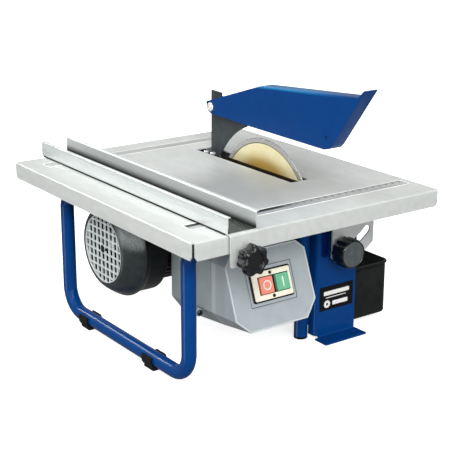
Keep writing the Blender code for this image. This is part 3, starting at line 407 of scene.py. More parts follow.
def scale_look():
    """Printed rule: a tick each millimetre, longer at five and ten, on a light strip, with a painted shadow
    and reflection of the fence along its far side at the left end.
    """
    look = Look("scale_print", ((0.60, 0.62, 0.62), (0.72, 0.74, 0.73)), (0.30, 0.40), metallic=0.6,
                grain=90, stretch=(0.3, 1, 1), bump=0.04)
    x, y = look.axes()[0], look.axes()[1]
    local = look.math("ABSOLUTE", look.minus(y, CENTRE_Y))
    for step, wide, reach in ((0.002, 0.30, 0.1432), (0.010, 0.14, 0.1462)):
        phase = look.math("FRACT", look.math("DIVIDE", look.plus(x, 1.0), step))
        line = look.math("LESS_THAN", phase, wide)
        near = look.math("GREATER_THAN", look.times(local, -1.0), -reach)
        look.paint(look.times(line, near), (0.05, 0.05, 0.05))
    # dark band along the far side at the left end: painted shadow and reflection of the fence
    depth = look.minus(y, CENTRE_Y)
    far_side = look.times(look.ramp(depth, -0.1485, -0.1455), look.math("LESS_THAN", depth, 0.0))
    left_end = look.ramp(look.times(x, -1.0), -0.008, 0.030)
    look.paint(look.times(far_side, left_end), (0.012, 0.012, 0.012))
    return look


SCALE = scale_look()


# ---------------------------------------------------------------- mesh helpers
def place(x, y, z):
    """A point given from the table's middle."""
    return Vector((x, y + CENTRE_Y, z))


def add(name, data, look, body, nodes=(), angle=35):
    obj = bpy.data.objects.new(name, data)
    bpy.context.scene.collection.objects.link(obj)
    data.materials.append(look.material)
    if isinstance(data, bpy.types.Mesh):
        data.shade_smooth()
        data.set_sharp_from_angle(angle=math.radians(angle))
    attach(obj, body)
    if nodes:
        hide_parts(*nodes)
    return obj


def to_mesh(name, shape, tidy=True):
    if tidy:
        bmesh.ops.remove_doubles(shape, verts=shape.verts, dist=0.000005)
        bmesh.ops.recalc_face_normals(shape, faces=shape.faces)
    mesh = bpy.data.meshes.new(name)
    shape.to_mesh(mesh)
    shape.free()
    return mesh


def fill(shape, outlines):
    """Fill the area between closed outlines of points."""
    edges = []
    for outline in outlines:
        loop = [shape.verts.new(point) for point in outline]
        edges += [shape.edges.new((a, b)) for a, b in zip(loop, loop[1:] + loop[:1])]
    bmesh.ops.triangle_fill(shape, use_beauty=True, use_dissolve=True, edges=edges)


def strip(shape, rows):
    """Join rows of two vertices with faces."""
    for first, second in zip(rows, rows[1:]):
        shape.faces.new((first[0], first[1], second[1], second[0]))


def sleeve(shape, rings):
    """Join closed rings of vertices with faces."""
    count = len(rings[0])
    for first, second in zip(rings, rings[1:]):
        for i in range(count):
            j = (i + 1) % count
            shape.faces.new((first[i], first[j], second[j], second[i]))


def lowest(shape):
    return min(shape.faces, key=lambda f: f.calc_center_median().z)


def widest(shape):
    return max(shape.faces, key=lambda f: f.calc_area())


def look_along(shape, pick, direction):
    """Make the normals agree, with the picked face looking along a direction."""
    bmesh.ops.recalc_face_normals(shape, faces=shape.faces)
    if pick(shape).normal.dot(Vector(direction)) < 0:
        bmesh.ops.reverse_faces(shape, faces=shape.faces)


def rounded(obj, width, segments=3, angle=35):
    """Round the sharp edges of a piece."""
    mod = obj.modifiers.new("edges", "BEVEL")
    mod.width = width
    mod.segments = segments
    mod.limit_method = "ANGLE"
    mod.angle_limit = math.radians(angle)
    mod.harden_normals = True
    return obj


def from_node(node, name, look, body, width, segments=2, angle=35):
    """A finer copy of a CAD node: flat faces merged and its edges rounded."""
    shape = bmesh.new()
    shape.from_mesh(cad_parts[node].data)
    bmesh.ops.remove_doubles(shape, verts=shape.verts, dist=0.00001)
    bmesh.ops.dissolve_limit(shape, angle_limit=math.radians(0.6), verts=shape.verts, edges=shape.edges)
    obj = add(name, to_mesh(name, shape, tidy=False), look, body, [node])
    return rounded(obj, width, segments, angle)


def arc(cx, cy, radius, start, end, count):
    points = []
    for i in range(count + 1):
        a = math.radians(start + (end - start) * i / count)
        points.append((cx + radius * math.cos(a), cy + radius * math.sin(a)))
    return points


def circle(cx, cy, radius, count=32):
    return arc(cx, cy, radius, 0, 360, count)[:-1]


def rounded_rectangle(x0, y0, x1, y1, radius, count=5):
    corners = ((x1, y1, -1, -1, 0), (x0, y1, 1, -1, 90), (x0, y0, 1, 1, 180), (x1, y0, -1, 1, 270))
    points = []
    for x, y, sx, sy, start in corners:
        points += arc(x + sx * radius, y + sy * radius, radius, start, start + 90, count)
    return points


def centred(half_width, half_height, radius):
    """Rounded rectangle about the origin."""
    return rounded_rectangle(-half_width, -half_height, half_width, half_height, radius)


DIRECTIONS = {"X": Vector((1, 0, 0)), "Y": Vector((0, 1, 0))}
QUARTER = [(math.sin(math.radians(a)), math.cos(math.radians(a))) for a in range(0, 91, 15)]
AXES = {
    "X": lambda u, v, w: place(w, u, v),
    "Y": lambda u, v, w: place(u, w, v),
    "Z": lambda u, v, w: place(u, v, w),
}


def plate_shape(outlines, low, high, axis, matrix=None):
    """Flat plate with holes. Outlines are (y, z) for X, (x, z) for Y and (x, y) for Z."""
    shape = bmesh.new()
    lay = AXES[axis]
    fill(shape, [[lay(u, v, low) for u, v in outline] for outline in outlines])
    pulled = bmesh.ops.extrude_face_region(shape, geom=shape.faces[:], use_keep_orig=True)
    moved = [g for g in pulled["geom"] if isinstance(g, bmesh.types.BMVert)]
    step = lay(0, 0, high) - lay(0, 0, low)
    bmesh.ops.translate(shape, vec=step, verts=moved)
    if matrix:
        bmesh.ops.transform(shape, matrix=matrix, verts=shape.verts)
    return shape


def plate(name, outlines, low, high, axis, look, body, slot, nodes=(), edge=0.0004, matrix=None, segments=2):
    mesh = to_mesh(name, plate_shape(outlines, low, high, axis, matrix))
    obj = add(name, mesh, look, body, nodes)
    if edge:
        rounded(obj, edge, segments)
    return obj


def turned(name, profile, origin, axis, look, body, nodes=(), steps=64, edge=0.0, angle=30):
    """Turn (along, radius) points about an axis through the origin."""
    shape = bmesh.new()
    rows = []
    direction = DIRECTIONS[axis]
    side = {"X": Vector((0, 1, 0)), "Y": Vector((0, 0, 1))}[axis]
    other = direction.cross(side)
    origin = place(*origin)
    for along, radius in profile:
        middle = origin + direction * along
        if radius < 1e-6:
            rows.append([shape.verts.new(middle)] * steps)
            continue
        row = []
        for i in range(steps):
            a = 2 * math.pi * i / steps
            row.append(shape.verts.new(middle + (side * math.cos(a) + other * math.sin(a)) * radius))
        rows.append(row)
    closed = profile[0][1] > 1e-6 and profile[-1][1] > 1e-6
    pairs = list(zip(rows, rows[1:])) + ([(rows[-1], rows[0])] if closed else [])
    for first, second in pairs:
        for i in range(steps):
            j = (i + 1) % steps
            ring = []
            for vert in (first[i], first[j], second[j], second[i]):
                if vert not in ring:
                    ring.append(vert)
            if len(ring) > 2:
                shape.faces.new(ring)
    obj = add(name, to_mesh(name, shape), look, body, nodes, angle)
    if edge:
        rounded(obj, edge, 3, angle)
    return obj


def lobed(name, rows, lobes, origin, axis, look, body, nodes=(), per_lobe=12, sign=1, sharp=1.0):
    """Grip lofted through (along, radius, lobe depth) rows, closed at both ends."""
    shape = bmesh.new()
    direction = DIRECTIONS[axis] * sign
    side = Vector((0, 0, 1))
    other = direction.cross(side)
    origin = place(*origin)
    count = lobes * per_lobe
    loops = []
    for along, radius, depth in rows:
        loop = []
        for i in range(count):
            a = 2 * math.pi * i / count
            wave = math.cos(lobes * a)
            wave = math.copysign(abs(wave) ** sharp, wave)
            r = radius + depth * wave
            loop.append(shape.verts.new(origin + direction * along
                                        + (side * math.cos(a) + other * math.sin(a)) * r))
        loops.append(loop)
    sleeve(shape, loops)
    shape.faces.new(loops[0])
    shape.faces.new(loops[-1])
    return add(name, to_mesh(name, shape), look, body, nodes, 50)


def filleted(points, radii, steps=14):
    """A route of straight runs with round bends, given a radius for each corner."""
    points = [Vector(p) for p in points]
    route = [points[0]]
    for before, corner, after, radius in zip(points, points[1:], points[2:], radii):
        back = (before - corner).normalized()
        ahead = (after - corner).normalized()
        half = back.angle(ahead) / 2
        reach = radius / math.tan(half)
        centre = corner + (back + ahead).normalized() * radius / math.sin(half)
        first = corner + back * reach - centre
        axis = back.cross(first)
        turn = math.pi - 2 * half
        for i in range(steps + 1):
            route.append(centre + Matrix.Rotation(turn * i / steps, 3, axis) @ first)
    route.append(points[-1])
    return route


def tube(name, route, radius, look, body, nodes=(), closed=False, resolution=6):
    """A round bar along a route, as a mesh."""
    curve = bpy.data.curves.new(name, "CURVE")
    curve.dimensions = "3D"
    curve.bevel_depth = radius
    curve.bevel_resolution = resolution
    curve.use_fill_caps = not closed
    spline = curve.splines.new("POLY")
    spline.points.add(len(route) - 1)
    for point, spot in zip(spline.points, route):
        point.co = (*spot, 1)
    spline.use_cyclic_u = closed
    holder = bpy.data.objects.new(name, curve)
    bpy.context.scene.collection.objects.link(holder)
    bpy.context.view_layer.update()
    graph = bpy.context.evaluated_depsgraph_get()
    mesh = bpy.data.meshes.new_from_object(holder.evaluated_get(graph))
    bpy.data.objects.remove(holder)
    mesh.materials.clear()
    mesh.name = name
    return add(name, mesh, look, body, nodes, 40)


def solid(obj, thickness, offset=-1, edge=0.0, segments=2):
    """Give a surface its sheet thickness, and round its edges."""
    shell = obj.modifiers.new("sheet", "SOLIDIFY")
    shell.thickness = thickness
    shell.offset = offset
    shell.use_even_offset = True
    if edge:
        rounded(obj, edge, segments, 50)
    return obj


def carve(obj, tool_shape, operation="DIFFERENCE"):
    """Boolean with a throw-away tool, applied at once."""
    tool = bpy.data.objects.new("tool", to_mesh("tool", tool_shape))
    bpy.context.scene.collection.objects.link(tool)
    mod = obj.modifiers.new("carve", "BOOLEAN")
    mod.operation = operation
    mod.solver = "EXACT"
    mod.object = tool
    bpy.context.view_layer.update()
    graph = bpy.context.evaluated_depsgraph_get()
    mesh = bpy.data.meshes.new_from_object(obj.evaluated_get(graph))
    obj.modifiers.remove(mod)
    old = obj.data
    obj.data = mesh
    bpy.data.meshes.remove(old)
    bpy.data.objects.remove(tool)
    mesh.shade_smooth()
    mesh.set_sharp_from_angle(angle=math.radians(35))
    return obj


# ---------------------------------------------------------------- table
def build_table():
    """Folded tray: flat top, four aprons with rounded bends, slit and chamfered corners."""
    bend = 0.0018
    drop = TABLE_TOP - table_low.z
    cut = 0.0040
    shape = bmesh.new()
    rim = [(HALF_WIDTH - bend, HALF_DEPTH - bend), (-HALF_WIDTH + bend, HALF_DEPTH - bend),
           (-HALF_WIDTH + bend, -HALF_DEPTH + bend), (HALF_WIDTH - bend, -HALF_DEPTH + bend)]
    slot = rounded_rectangle(BLADE_X - 0.019, -0.0745, BLADE_X + 0.0075, 0.1195, 0.002)
    fill(shape, [[place(u, v, TABLE_TOP) for u, v in outline] for outline in (rim, slot)])
    for outward, along, half_out, half_along in (
            ((1, 0), (0, 1), HALF_WIDTH, HALF_DEPTH), ((-1, 0), (0, 1), HALF_WIDTH, HALF_DEPTH),
            ((0, 1), (1, 0), HALF_DEPTH, HALF_WIDTH), ((0, -1), (1, 0), HALF_DEPTH, HALF_WIDTH)):
        section = [(half_out - bend + bend * s, TABLE_TOP - bend + bend * c) for s, c in QUARTER]
        section += [(half_out, TABLE_TOP - drop + cut), (half_out, TABLE_TOP - drop)]
        rows = []
        for number, (out, z) in enumerate(section):
            slit = 0.0012 if number > 1 else 0.0
            reach = half_along - bend - (cut if number == len(section) - 1 else slit)
            rows.append([shape.verts.new(place(outward[0] * out + along[0] * s * reach,
                                               outward[1] * out + along[1] * s * reach, z))
                         for s in (-1, 1)])
        strip(shape, rows)
    bmesh.ops.remove_doubles(shape, verts=shape.verts, dist=0.000005)
    look_along(shape, widest, (0, 0, 1))
    obj = add("table_sheet", to_mesh("table_sheet", shape, tidy=False), TABLE, "table",
              ["table_top"])
    solid(obj, 0.0015, -1, 0.0003)
    plate("slot_lip", [rounded_rectangle(BLADE_X + 0.0077, -0.0735, BLADE_X + 0.0085, 0.1150, 0.0003)],
          TABLE_TOP - 0.0080, TABLE_TOP - 0.0016, "Z", KNIFE, "table", "dark_steel", edge=0.0001)
    # folded tab inside each corner, black as painted shade behind the corner slit
    for number, (sx, sy) in enumerate(((-1, -1), (1, -1), (-1, 1), (1, 1)), 1):
        x, y = sx * (HALF_WIDTH - 0.0022), sy * (HALF_DEPTH - 0.0022)
        corner = [(x, y), (x, y - sy * 0.010), (x - sx * 0.0012, y - sy * 0.010),
                  (x - sx * 0.0012, y - sy * 0.0012), (x - sx * 0.010, y - sy * 0.0012), (x - sx * 0.010, y)]
        plate("corner_tab_%d" % number, [corner], TABLE_TOP - drop + 0.005, TABLE_TOP - 0.0020, "Z", BLACK,
              "table", "black_plastic", edge=0.0002)


def build_rules():
    """Printed rules let into the table, each in a thin dark ring of painted shade round its pocket."""
    for name in ("front", "rear"):
        low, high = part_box("scale_strip_" + name)
        shape = plate_shape([rounded_rectangle(low.x, low.y - CENTRE_Y, high.x, high.y - CENTRE_Y, 0.001)],
                            TABLE_TOP + 0.00005, TABLE_TOP + 0.00035, "Z")
        obj = add("rule_" + name, to_mesh("rule_" + name, shape), SCALE, "table",
                  ["scale_strip_" + name])
        rounded(obj, 0.00012, 2)
        y0, y1 = low.y - CENTRE_Y, high.y - CENTRE_Y
        wide = rounded_rectangle(low.x - 0.0010, y0 - 0.0010, high.x + 0.0010, y1 + 0.0010, 0.0014)
        slim = rounded_rectangle(low.x + 0.0001, y0 + 0.0001, high.x - 0.0001, y1 - 0.0001, 0.001)
        # thin dark ring round the rule: painted shade at the pocket's edge
        plate("rule_shade_ring_" + name, [wide, slim], TABLE_TOP + 0.00003, TABLE_TOP + 0.00013, "Z", KNIFE,
              "table", "black_plastic", edge=0.00003)
        # white ring round that: painted highlight on the pocket's edges
        rim = rounded_rectangle(low.x - 0.0030, y0 - 0.0030, high.x + 0.0030, y1 + 0.0030, 0.0018)
        plate("rule_rim_" + name, [rim, wide], TABLE_TOP + 0.00003, TABLE_TOP + 0.00028, "Z", WHITE,
              "table", "zinc_steel", edge=0.00008)


# ---------------------------------------------------------------- fence
def channel(profile, bends, start, end):
    """Surface of a bent strip: an (x, z) profile with rounded corners, pulled along y."""
    flat = filleted([(x, 0, z) for x, z in profile], [bends] * (len(profile) - 2), 5)
    shape = bmesh.new()
    rows = [[shape.verts.new(place(p.x, y, p.z)) for y in (start, end)] for p in flat]
    strip(shape, rows)
    return shape


def build_fence():
    """U channel with hemmed walls, a tab over the front apron, a clamp plate and a glide strip."""
    low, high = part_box("fence")
    left, right = FENCE_X - FENCE_HALF, FENCE_X + FENCE_HALF
    base, top = TABLE_TOP + 0.0003, TABLE_TOP + 0.019
    start, end = low.y - CENTRE_Y, high.y - CENTRE_Y
    wall_start = start + 0.0045
    profile = [(left + 0.0038, top - 0.0001), (left + 0.0001, top - 0.0001), (left + 0.0001, base),
               (right, base), (right, top - 0.0001), (high.x, top - 0.0001)]
    shape = channel(profile, 0.0014, wall_start, end)
    look_along(shape, lowest, (0, 0, -1))
    obj = add("fence_channel", to_mesh("fence_channel", shape, tidy=False), FENCE, "fence",
              ["fence"])
    solid(obj, SHEET, -1, 0.00025)
    # front apron tab: the channel's floor folded down over the table's edge
    bend = 0.0024
    section = [(wall_start + 0.001, base + 0.0014)]
    section += [(start + bend - bend * s, base + 0.0014 - bend + bend * c) for s, c in QUARTER]
    section += [(start, low.z + 0.002), (start, low.z)]
    shape = bmesh.new()
    rows = []
    for number, (y, z) in enumerate(section):
        inset = 0.002 if number == len(section) - 1 else 0
        ends = (left + 0.0003 + inset, right - 0.0003 - inset)
        rows.append([shape.verts.new(place(x, y, z)) for x in ends])
    strip(shape, rows)
    look_along(shape, lowest, (0, -1, 0))
    obj = add("fence_tab", to_mesh("fence_tab", shape, tidy=False), TABLE, "fence")
    solid(obj, SHEET, -1, 0.00025)
    from_node("fence_clamp", "fence_clamp_plate", ZINC, "fence", 0.0003)
    glide = rounded_rectangle(left - 0.0006, wall_start + 0.004, left + 0.0006, end - 0.004, 0.0003)
    plate("fence_glide", [glide], base - 0.0001, base + 0.0012, "Z", RUBBER, "fence", "black_rubber",
          edge=0.0001)


def build_star_knob():
    """Seven-lobed knob with a dished face, its neck and its stud."""
    low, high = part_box("fence_knob")
    face = low.y - CENTRE_Y
    z = (low.z + high.z) / 2
    rows = [(-0.0150, 0.0095, 0.0), (-0.0148, 0.0126, 0.0010), (-0.0138, 0.0142, 0.0018),
            (-0.0120, 0.0146, 0.0021), (-0.0050, 0.0146, 0.0021), (-0.0026, 0.0142, 0.0019),
            (-0.0010, 0.0134, 0.0013), (-0.0002, 0.0123, 0.0007), (0.0, 0.0112, 0.0003),
            (0.0, 0.0098, 0.0), (-0.0005, 0.0090, 0.0), (-0.0028, 0.0084, 0.0), (-0.0034, 0.0070, 0.0),
            (-0.0030, 0.0030, 0.0)]
    lobed("star_knob", rows, 7, (FENCE_X, face, z), "Y", GLOSS, "fence_knob",
          ["fence_knob"], 14, -1, 0.8)
    turned("star_neck", [(0.0, 0.0), (0.0, 0.0085), (0.0075, 0.0085), (0.0075, 0.0)],
           (FENCE_X, face + 0.0140, z), "Y", BLACK, "fence_knob", steps=40, edge=0.0005)
    turned("star_stud", [(0.0, 0.0), (0.0, 0.0030), (0.0120, 0.0030), (0.0120, 0.0)],
           (FENCE_X, face + 0.0205, z), "Y", ZINC, "fence_knob", steps=28, edge=0.0003)


# ---------------------------------------------------------------- frame and columns
def build_frame():
    """One bent tube, with saddles on the leg and caps on the posts."""
    corners = [(0.0325, -0.117, 0.003), (0.0325, -0.117, 0.1505), (LEG_X, -0.1575, 0.1505),
               (LEG_X, -0.1575, 0.0112), (LEG_X, 0.096, 0.0112), (LEG_X, 0.096, 0.1505),
               (0.0325, 0.117, 0.1505), (0.0325, 0.117, 0.003)]
    route = filleted([place(*c) for c in corners], (0.014, 0.014, 0.028, 0.028, 0.014, 0.014))
    tube("leg_tube", route, 0.008, BLUE, "base", ["frame_tube"], resolution=8)
    for name in ("front", "rear"):
        from_node("foot_saddle_" + name, "saddle_" + name, RUBBER, "base", 0.0008)
        from_node("post_foot_" + name, "post_cap_" + name, RUBBER, "base", 0.0006)


def build_column(side, name):
    """Folded sheet: face with a rounded left bend, return, and a foot flange."""
    low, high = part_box("column_" + name)
    face = side * COLUMN_Y
    left, right = low.x + 0.002, high.x - 0.001
    bend = 0.0042
    top_right = TILT_Z - 0.023
    foot = 0.0032
    outline = [(left + bend, foot), (right, foot), (right, top_right), (BLADE_X + 0.003, 0.168),
               (left + bend, 0.160)]
    slot = rounded_rectangle(0.0474, 0.0970, 0.0588, 0.148, 0.0045)
    holes = [circle(BLADE_X, TILT_Z, 0.0033, 16), circle(BLADE_X, STUD_Z, 0.0043, 20)]
    shape = bmesh.new()
    fill(shape, [[place(u, face, v) for u, v in loop] for loop in [outline, slot] + holes])
    rows = []
    for s, c in QUARTER:
        x, y = left + bend - bend * s, face - side * (bend - bend * c)
        rows.append([shape.verts.new(place(x, y, z)) for z in (foot, 0.160)])
    rows.append([shape.verts.new(place(left, face - side * 0.0135, z)) for z in (foot, 0.146)])
    strip(shape, rows)
    rows = []
    for s, c in QUARTER:
        y, z = face + side * 0.0012 * (1 - c), foot - 0.0012 * s
        rows.append([shape.verts.new(place(x, y, z)) for x in (left + bend, right)])
    strip(shape, rows)
    bmesh.ops.remove_doubles(shape, verts=shape.verts, dist=0.000005)
    look_along(shape, widest, (0, side, 0))
    obj = add("upright_" + name, to_mesh("upright_" + name, shape, tidy=False), BLUE, "base",
              ["column_" + name])
    solid(obj, 0.002, -1, 0.0003)
    # navy plate behind the slot: the recess floor, its darker blue painted shade
    y0, y1 = sorted((face - side * 0.0021, face - side * 0.0029))
    plate("recess_" + name, [rounded_rectangle(0.0462, 0.0955, 0.0600, 0.1495, 0.0050)], y0, y1, "Y", BLUE_SHADE,
          "base", "blue_paint", edge=0.0001)
    # the foot flange, with its fixing slot
    y0, y1 = sorted((face + side * 0.0010, side * (COLUMN_Y + 0.0213)))
    slot = rounded_rectangle(0.0896 - 0.0045, side * 0.1435 - 0.002, 0.0896 + 0.0045, side * 0.1435 + 0.002,
                             0.0019)
    outline = rounded_rectangle(low.x + 0.0002, y0, high.x - 0.0002, y1, 0.0008)
    plate("flange_" + name, [outline, slot], 0.0, 0.0020, "Z", BLUE, "base", "blue_paint", edge=0.0003)
    # navy plate in the flange slot: painted shade
    plate("flange_slot_shade_" + name, [slot], 0.0, 0.0006, "Z", BLUE_SHADE, "base", "blue_paint", edge=0.0001)


def build_label():
    """Generic label: black film with plain light marks."""
    left, right, bottom, top = 0.0464, 0.0963, 0.0325, 0.0615
    face = -COLUMN_Y
    plate("label", [rounded_rectangle(left, bottom, right, top, 0.0012)], face - 0.00025, face - 0.00005,
          "Y", LABEL, "base", "black_plastic", edge=0.0001)
    ink = (face - 0.00038, face - 0.00022)
    marks = {
        "label_bar": rounded_rectangle(left + 0.0060, top - 0.0110, right - 0.0060, top - 0.0060, 0.0012),
        "label_line": rounded_rectangle(left + 0.0090, top - 0.0143, right - 0.0110, top - 0.0134, 0.0004),
        "label_dash": rounded_rectangle(left + 0.0190, bottom + 0.0050, right - 0.0080, bottom + 0.0100,
                                        0.0010),
    }
    for name, outline in marks.items():
        plate(name, [outline], *ink, "Y", WHITE, "base", "cream_plastic", edge=0.00004)
    centre = (left + 0.0112, bottom + 0.0074)
    teeth = []
    for i in range(40):
        a = 2 * math.pi * i / 40
        r = 0.0042 + (0.0006 if i % 4 < 2 else 0)
        teeth.append((centre[0] + r * math.cos(a), centre[1] + r * math.sin(a)))
    plate("label_wheel", [teeth, circle(*centre, 0.0016, 20)], *ink, "Y", WHITE, "base", "cream_plastic",
          edge=0.00004)


def build_quadrants():
    for side, name in ((-1, "front"), (1, "rear")):
        from_node("tilt_plate_" + name, "quadrant_" + name, ZINC, "table", 0.0004)
        from_node("tilt_pivot_" + name, "pivot_pin_" + name, CHROME, "base", 0.0003)
        from_node("tilt_stud_" + name, "clamp_stud_" + name, CHROME, "base", 0.0003)
        build_tilt_knob(side, name)


def build_tilt_knob(side, name):
    """Fluted knob with a dull insert in its face."""
    low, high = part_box("tilt_knob_" + name)
    body = "tilt_knob_" + name
    face = (low.y if side < 0 else high.y) - CENTRE_Y
    rows = [(-0.0195, 0.0125, 0.0), (-0.0192, 0.0150, 0.0003), (-0.0180, 0.0160, 0.0010),
            (-0.0165, 0.0162, 0.0011), (-0.0040, 0.0162, 0.0011), (-0.0026, 0.0163, 0.0009),
            (-0.0014, 0.0164, 0.0004), (-0.0006, 0.0161, 0.0), (0.0, 0.0155, 0.0), (-0.0001, 0.0150, 0.0),
            (-0.0006, 0.0147, 0.0)]
    lobed("grip_" + name, rows, 12, (BLADE_X, face, STUD_Z), "Y", GLOSS, body,
          ["tilt_knob_" + name], 12, side, 0.7)
    insert = [(-0.0008, 0.0), (-0.0008, 0.0146), (-0.0004, 0.0146), (-0.0002, 0.0140), (-0.0002, 0.0075),
              (-0.0004, 0.0070), (-0.0002, 0.0066), (-0.0002, 0.0)]
    turned("grip_face_" + name, [(side * a, r) for a, r in insert], (BLADE_X, face, STUD_Z), "Y", KNOB_FACE,
           body, steps=64)
    neck = [(0.0, 0.0046), (0.0, 0.0110), (0.0045, 0.0110), (0.0045, 0.0046)]
    turned("grip_neck_" + name, [(side * a, r) for a, r in neck],
           (BLADE_X, side * (QUADRANT_Y + 0.0003), STUD_Z), "Y", BLACK, body, steps=40,
           edge=0.0004)


# ---------------------------------------------------------------- guard, knife and blade
def build_guard():
    """Folded blue shell with rounded bends, its pivot bolt and its wing knob."""
    y, z = GUARD_PIVOT
    low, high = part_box("guard")
    wide = (high.x - low.x) / 2
    slim = wide - 0.0012
    tail = [(y - 0.0010, z - 0.0088), (y + 0.0055, z - 0.0065), (y + 0.0090, z - 0.0010),
            (y + 0.0100, z + 0.0055)]
    top = [GUARD_PEAK, GUARD_NOSE, (-0.1791, 0.2933), (-0.1818, 0.2930)]
    front = [(-0.1325, 0.2262), (-0.1270, 0.2205), (-0.1183, 0.2181), (0.0205, 0.2190)]
    outline = tail + top + front
    cavity = [(0.130, 0.190), (0.130, 0.300), (0.001, 0.300), (0.001, 0.2695), (-0.1690, 0.2837),
              (-0.1300, 0.2277), (-0.1255, 0.2224), (-0.1180, 0.2198), (-0.1100, 0.2190), (-0.1100, 0.190)]
    shape = plate_shape([outline], BLADE_X - wide, BLADE_X + wide, "X")
    bmesh.ops.recalc_face_normals(shape, faces=shape.faces)
    shape.edges.ensure_lookup_table()

    def on(edge, first, second):
        """True where an edge lies along one stretch of the outline."""
        mid = (edge.verts[0].co + edge.verts[1].co) / 2
        a, b = Vector((first[0] + CENTRE_Y, first[1])), Vector((second[0] + CENTRE_Y, second[1]))
        p = Vector((mid.y, mid.z))
        t = (p - a).dot(b - a) / (b - a).length_squared
        across = abs(edge.verts[0].co.x - edge.verts[1].co.x)
        return across < 1e-5 and 0.1 < t < 0.9 and (a + (b - a) * t - p).length < 1e-5

    stretches = [(top[0], top[1]), (top[1], top[2]), (top[3], front[0]), (front[0], front[1])]
    bends = [e for e in shape.edges if any(on(e, *s) for s in stretches)]
    bmesh.ops.bevel(shape, geom=bends, offset=0.0030, segments=5, affect="EDGES", profile=0.5,
                    clamp_overlap=True)
    obj = add("guard_shell", to_mesh("guard_shell", shape), BLUE, "guard", ["guard"])
    carve(obj, plate_shape([cavity], BLADE_X - slim, BLADE_X + slim, "X"))
    carve(obj, plate_shape([circle(y, z, 0.0033, 24)], 0.050, 0.090, "X"))
    carve(obj, plate_shape([circle(-0.1215, 0.2325, 0.0015, 16)], 0.050, 0.064, "X"))
    rounded(obj, 0.0002, 2, 50)
    left = BLADE_X - wide
    dome = [(0.0003, 0.0), (0.0003, 0.0032), (-0.0003, 0.0058), (-0.0012, 0.0056), (-0.0024, 0.0048),
            (-0.0034, 0.0034), (-0.0039, 0.0018), (-0.0036, 0.0013), (-0.0026, 0.0012), (-0.0026, 0.0)]
    turned("guard_bolt_head", [(a - 0.0003, r) for a, r in dome], (left, y, z), "X", CHROME, "guard",
           ["guard_bolt"], steps=40)
    turned("guard_bolt_shank", [(0.0, 0.0), (0.0, 0.0029), (0.0250, 0.0029), (0.0250, 0.0)],
           (left - 0.0003, y, z), "X", CHROME, "guard", steps=24, edge=0.0002)
    low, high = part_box("guard_knob")
    rows = [(0.0, 0.0070, 0.0), (0.0028, 0.0070, 0.0), (0.0032, 0.0088, 0.0006), (0.0040, 0.0098, 0.0014),
            (0.0105, 0.0098, 0.0014), (0.0118, 0.0092, 0.0010), (high.x - low.x, 0.0078, 0.0004)]
    lobed("guard_wing", rows, 6, (low.x, y, z), "X", BLACK, "guard_knob", ["guard_knob"], 10)


def build_knife():
    from_node("riving_knife", "splitter", KNIFE, "base", 0.0004)
    from_node("knife_bracket", "splitter_bracket", KNIFE, "base", 0.0004)
    for number in (1, 2):
        from_node("knife_bolt_%d" % number, "splitter_bolt_%d" % number, CHROME, "base", 0.0003)


def build_blade():
    """Gold core with a slightly thicker diamond rim, its flanges, and the dark sheet round it under the
    table, standing for painted shade.
    """
    half = (blade_high.x - blade_low.x) / 2
    core = half - 0.0003
    rim = BLADE_RADIUS - 0.0055
    profile = [(-half, rim), (-half, BLADE_RADIUS - 0.0003), (-half + 0.0003, BLADE_RADIUS),
               (half - 0.0003, BLADE_RADIUS), (half, BLADE_RADIUS - 0.0003), (half, rim),
               (core, rim - 0.0004), (core, 0.0128), (-core, 0.0128), (-core, rim - 0.0004)]
    turned("blade_disc", profile, (BLADE_X, 0, AXLE_Z), "X", BLADE, "spindle",
           ["diamond_blade"], steps=128)
    # dark sheet beside the blade under the table: painted shade in the slot
    cheek = [(0.0562, 0.1500), (0.0646, 0.1500), (0.0646, 0.1698), (0.0638, 0.1698), (0.0638, 0.1508),
             (0.0562, 0.1508)]
    plate("blade_shade_sheet", [cheek], -0.0700, 0.0850, "Y", BLADE_SHADE, "base", "dark_steel", edge=0.0002)
    plate("slot_shade", [rounded_rectangle(0.0505, 0.0500, 0.0635, 0.1285, 0.001)], 0.1592, 0.1600, "Z",
          RUBBER, "base", "dark_steel", edge=0.0002)
    for node, name, edge in (("inner_flange", "flange_inner", 0.0004),
                             ("outer_flange", "flange_outer", 0.0006), ("arbor_nut", "spindle_nut", 0.0005)):
        from_node(node, name, ZINC, "spindle", edge)


# ---------------------------------------------------------------- motor
def build_motor():
    """Domed fan cover, ribbed body and the collar between them with its screws."""
    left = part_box("fan_cover")[0].x
    cover = [(0.0290, 0.0558), (0.0262, 0.0567), (0.0236, 0.0573), (0.0222, 0.0574), (0.0208, 0.0572),
             (0.0190, 0.0565), (0.0160, 0.0549), (0.0120, 0.0524), (0.0080, 0.0496), (0.0050, 0.0472),
             (0.0025, 0.0450), (0.0008, 0.0431), (0.0, 0.0416), (0.0, 0.0396), (0.0005, 0.0391),
             (0.0026, 0.0391), (0.0034, 0.0432), (0.0090, 0.0475), (0.0190, 0.0530), (0.0290, 0.0530)]
    turned("fan_shroud", cover, (left, 0, HOUSING_Z), "X", COVER, "base", ["fan_cover"],
           steps=96, angle=40)
    build_grille(left)
    low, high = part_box("motor_can")
    build_can(low.x, high.x)
    collar = [circle(0, HOUSING_Z, 0.0550, 96), circle(0, AXLE_Z, 0.0493, 96)]
    plate("motor_collar", collar, low.x, -0.1060, "X", BLACK, "base", "black_plastic", edge=0.0012)
    for number, (y, z) in enumerate(((-0.0300, -0.0385), (-0.0060, -0.0490)), 1):
        head = [(0.0, 0.0), (0.0, 0.0034), (0.0020, 0.0034), (0.0026, 0.0028), (0.0026, 0.0)]
        turned("collar_screw_%d" % number, head, (-0.1058, y, HOUSING_Z + z), "X", CHROME, "base",
               steps=24, edge=0.0003)
    from_node("end_shield_blade_side", "end_bell", BLACK, "base", 0.0008)


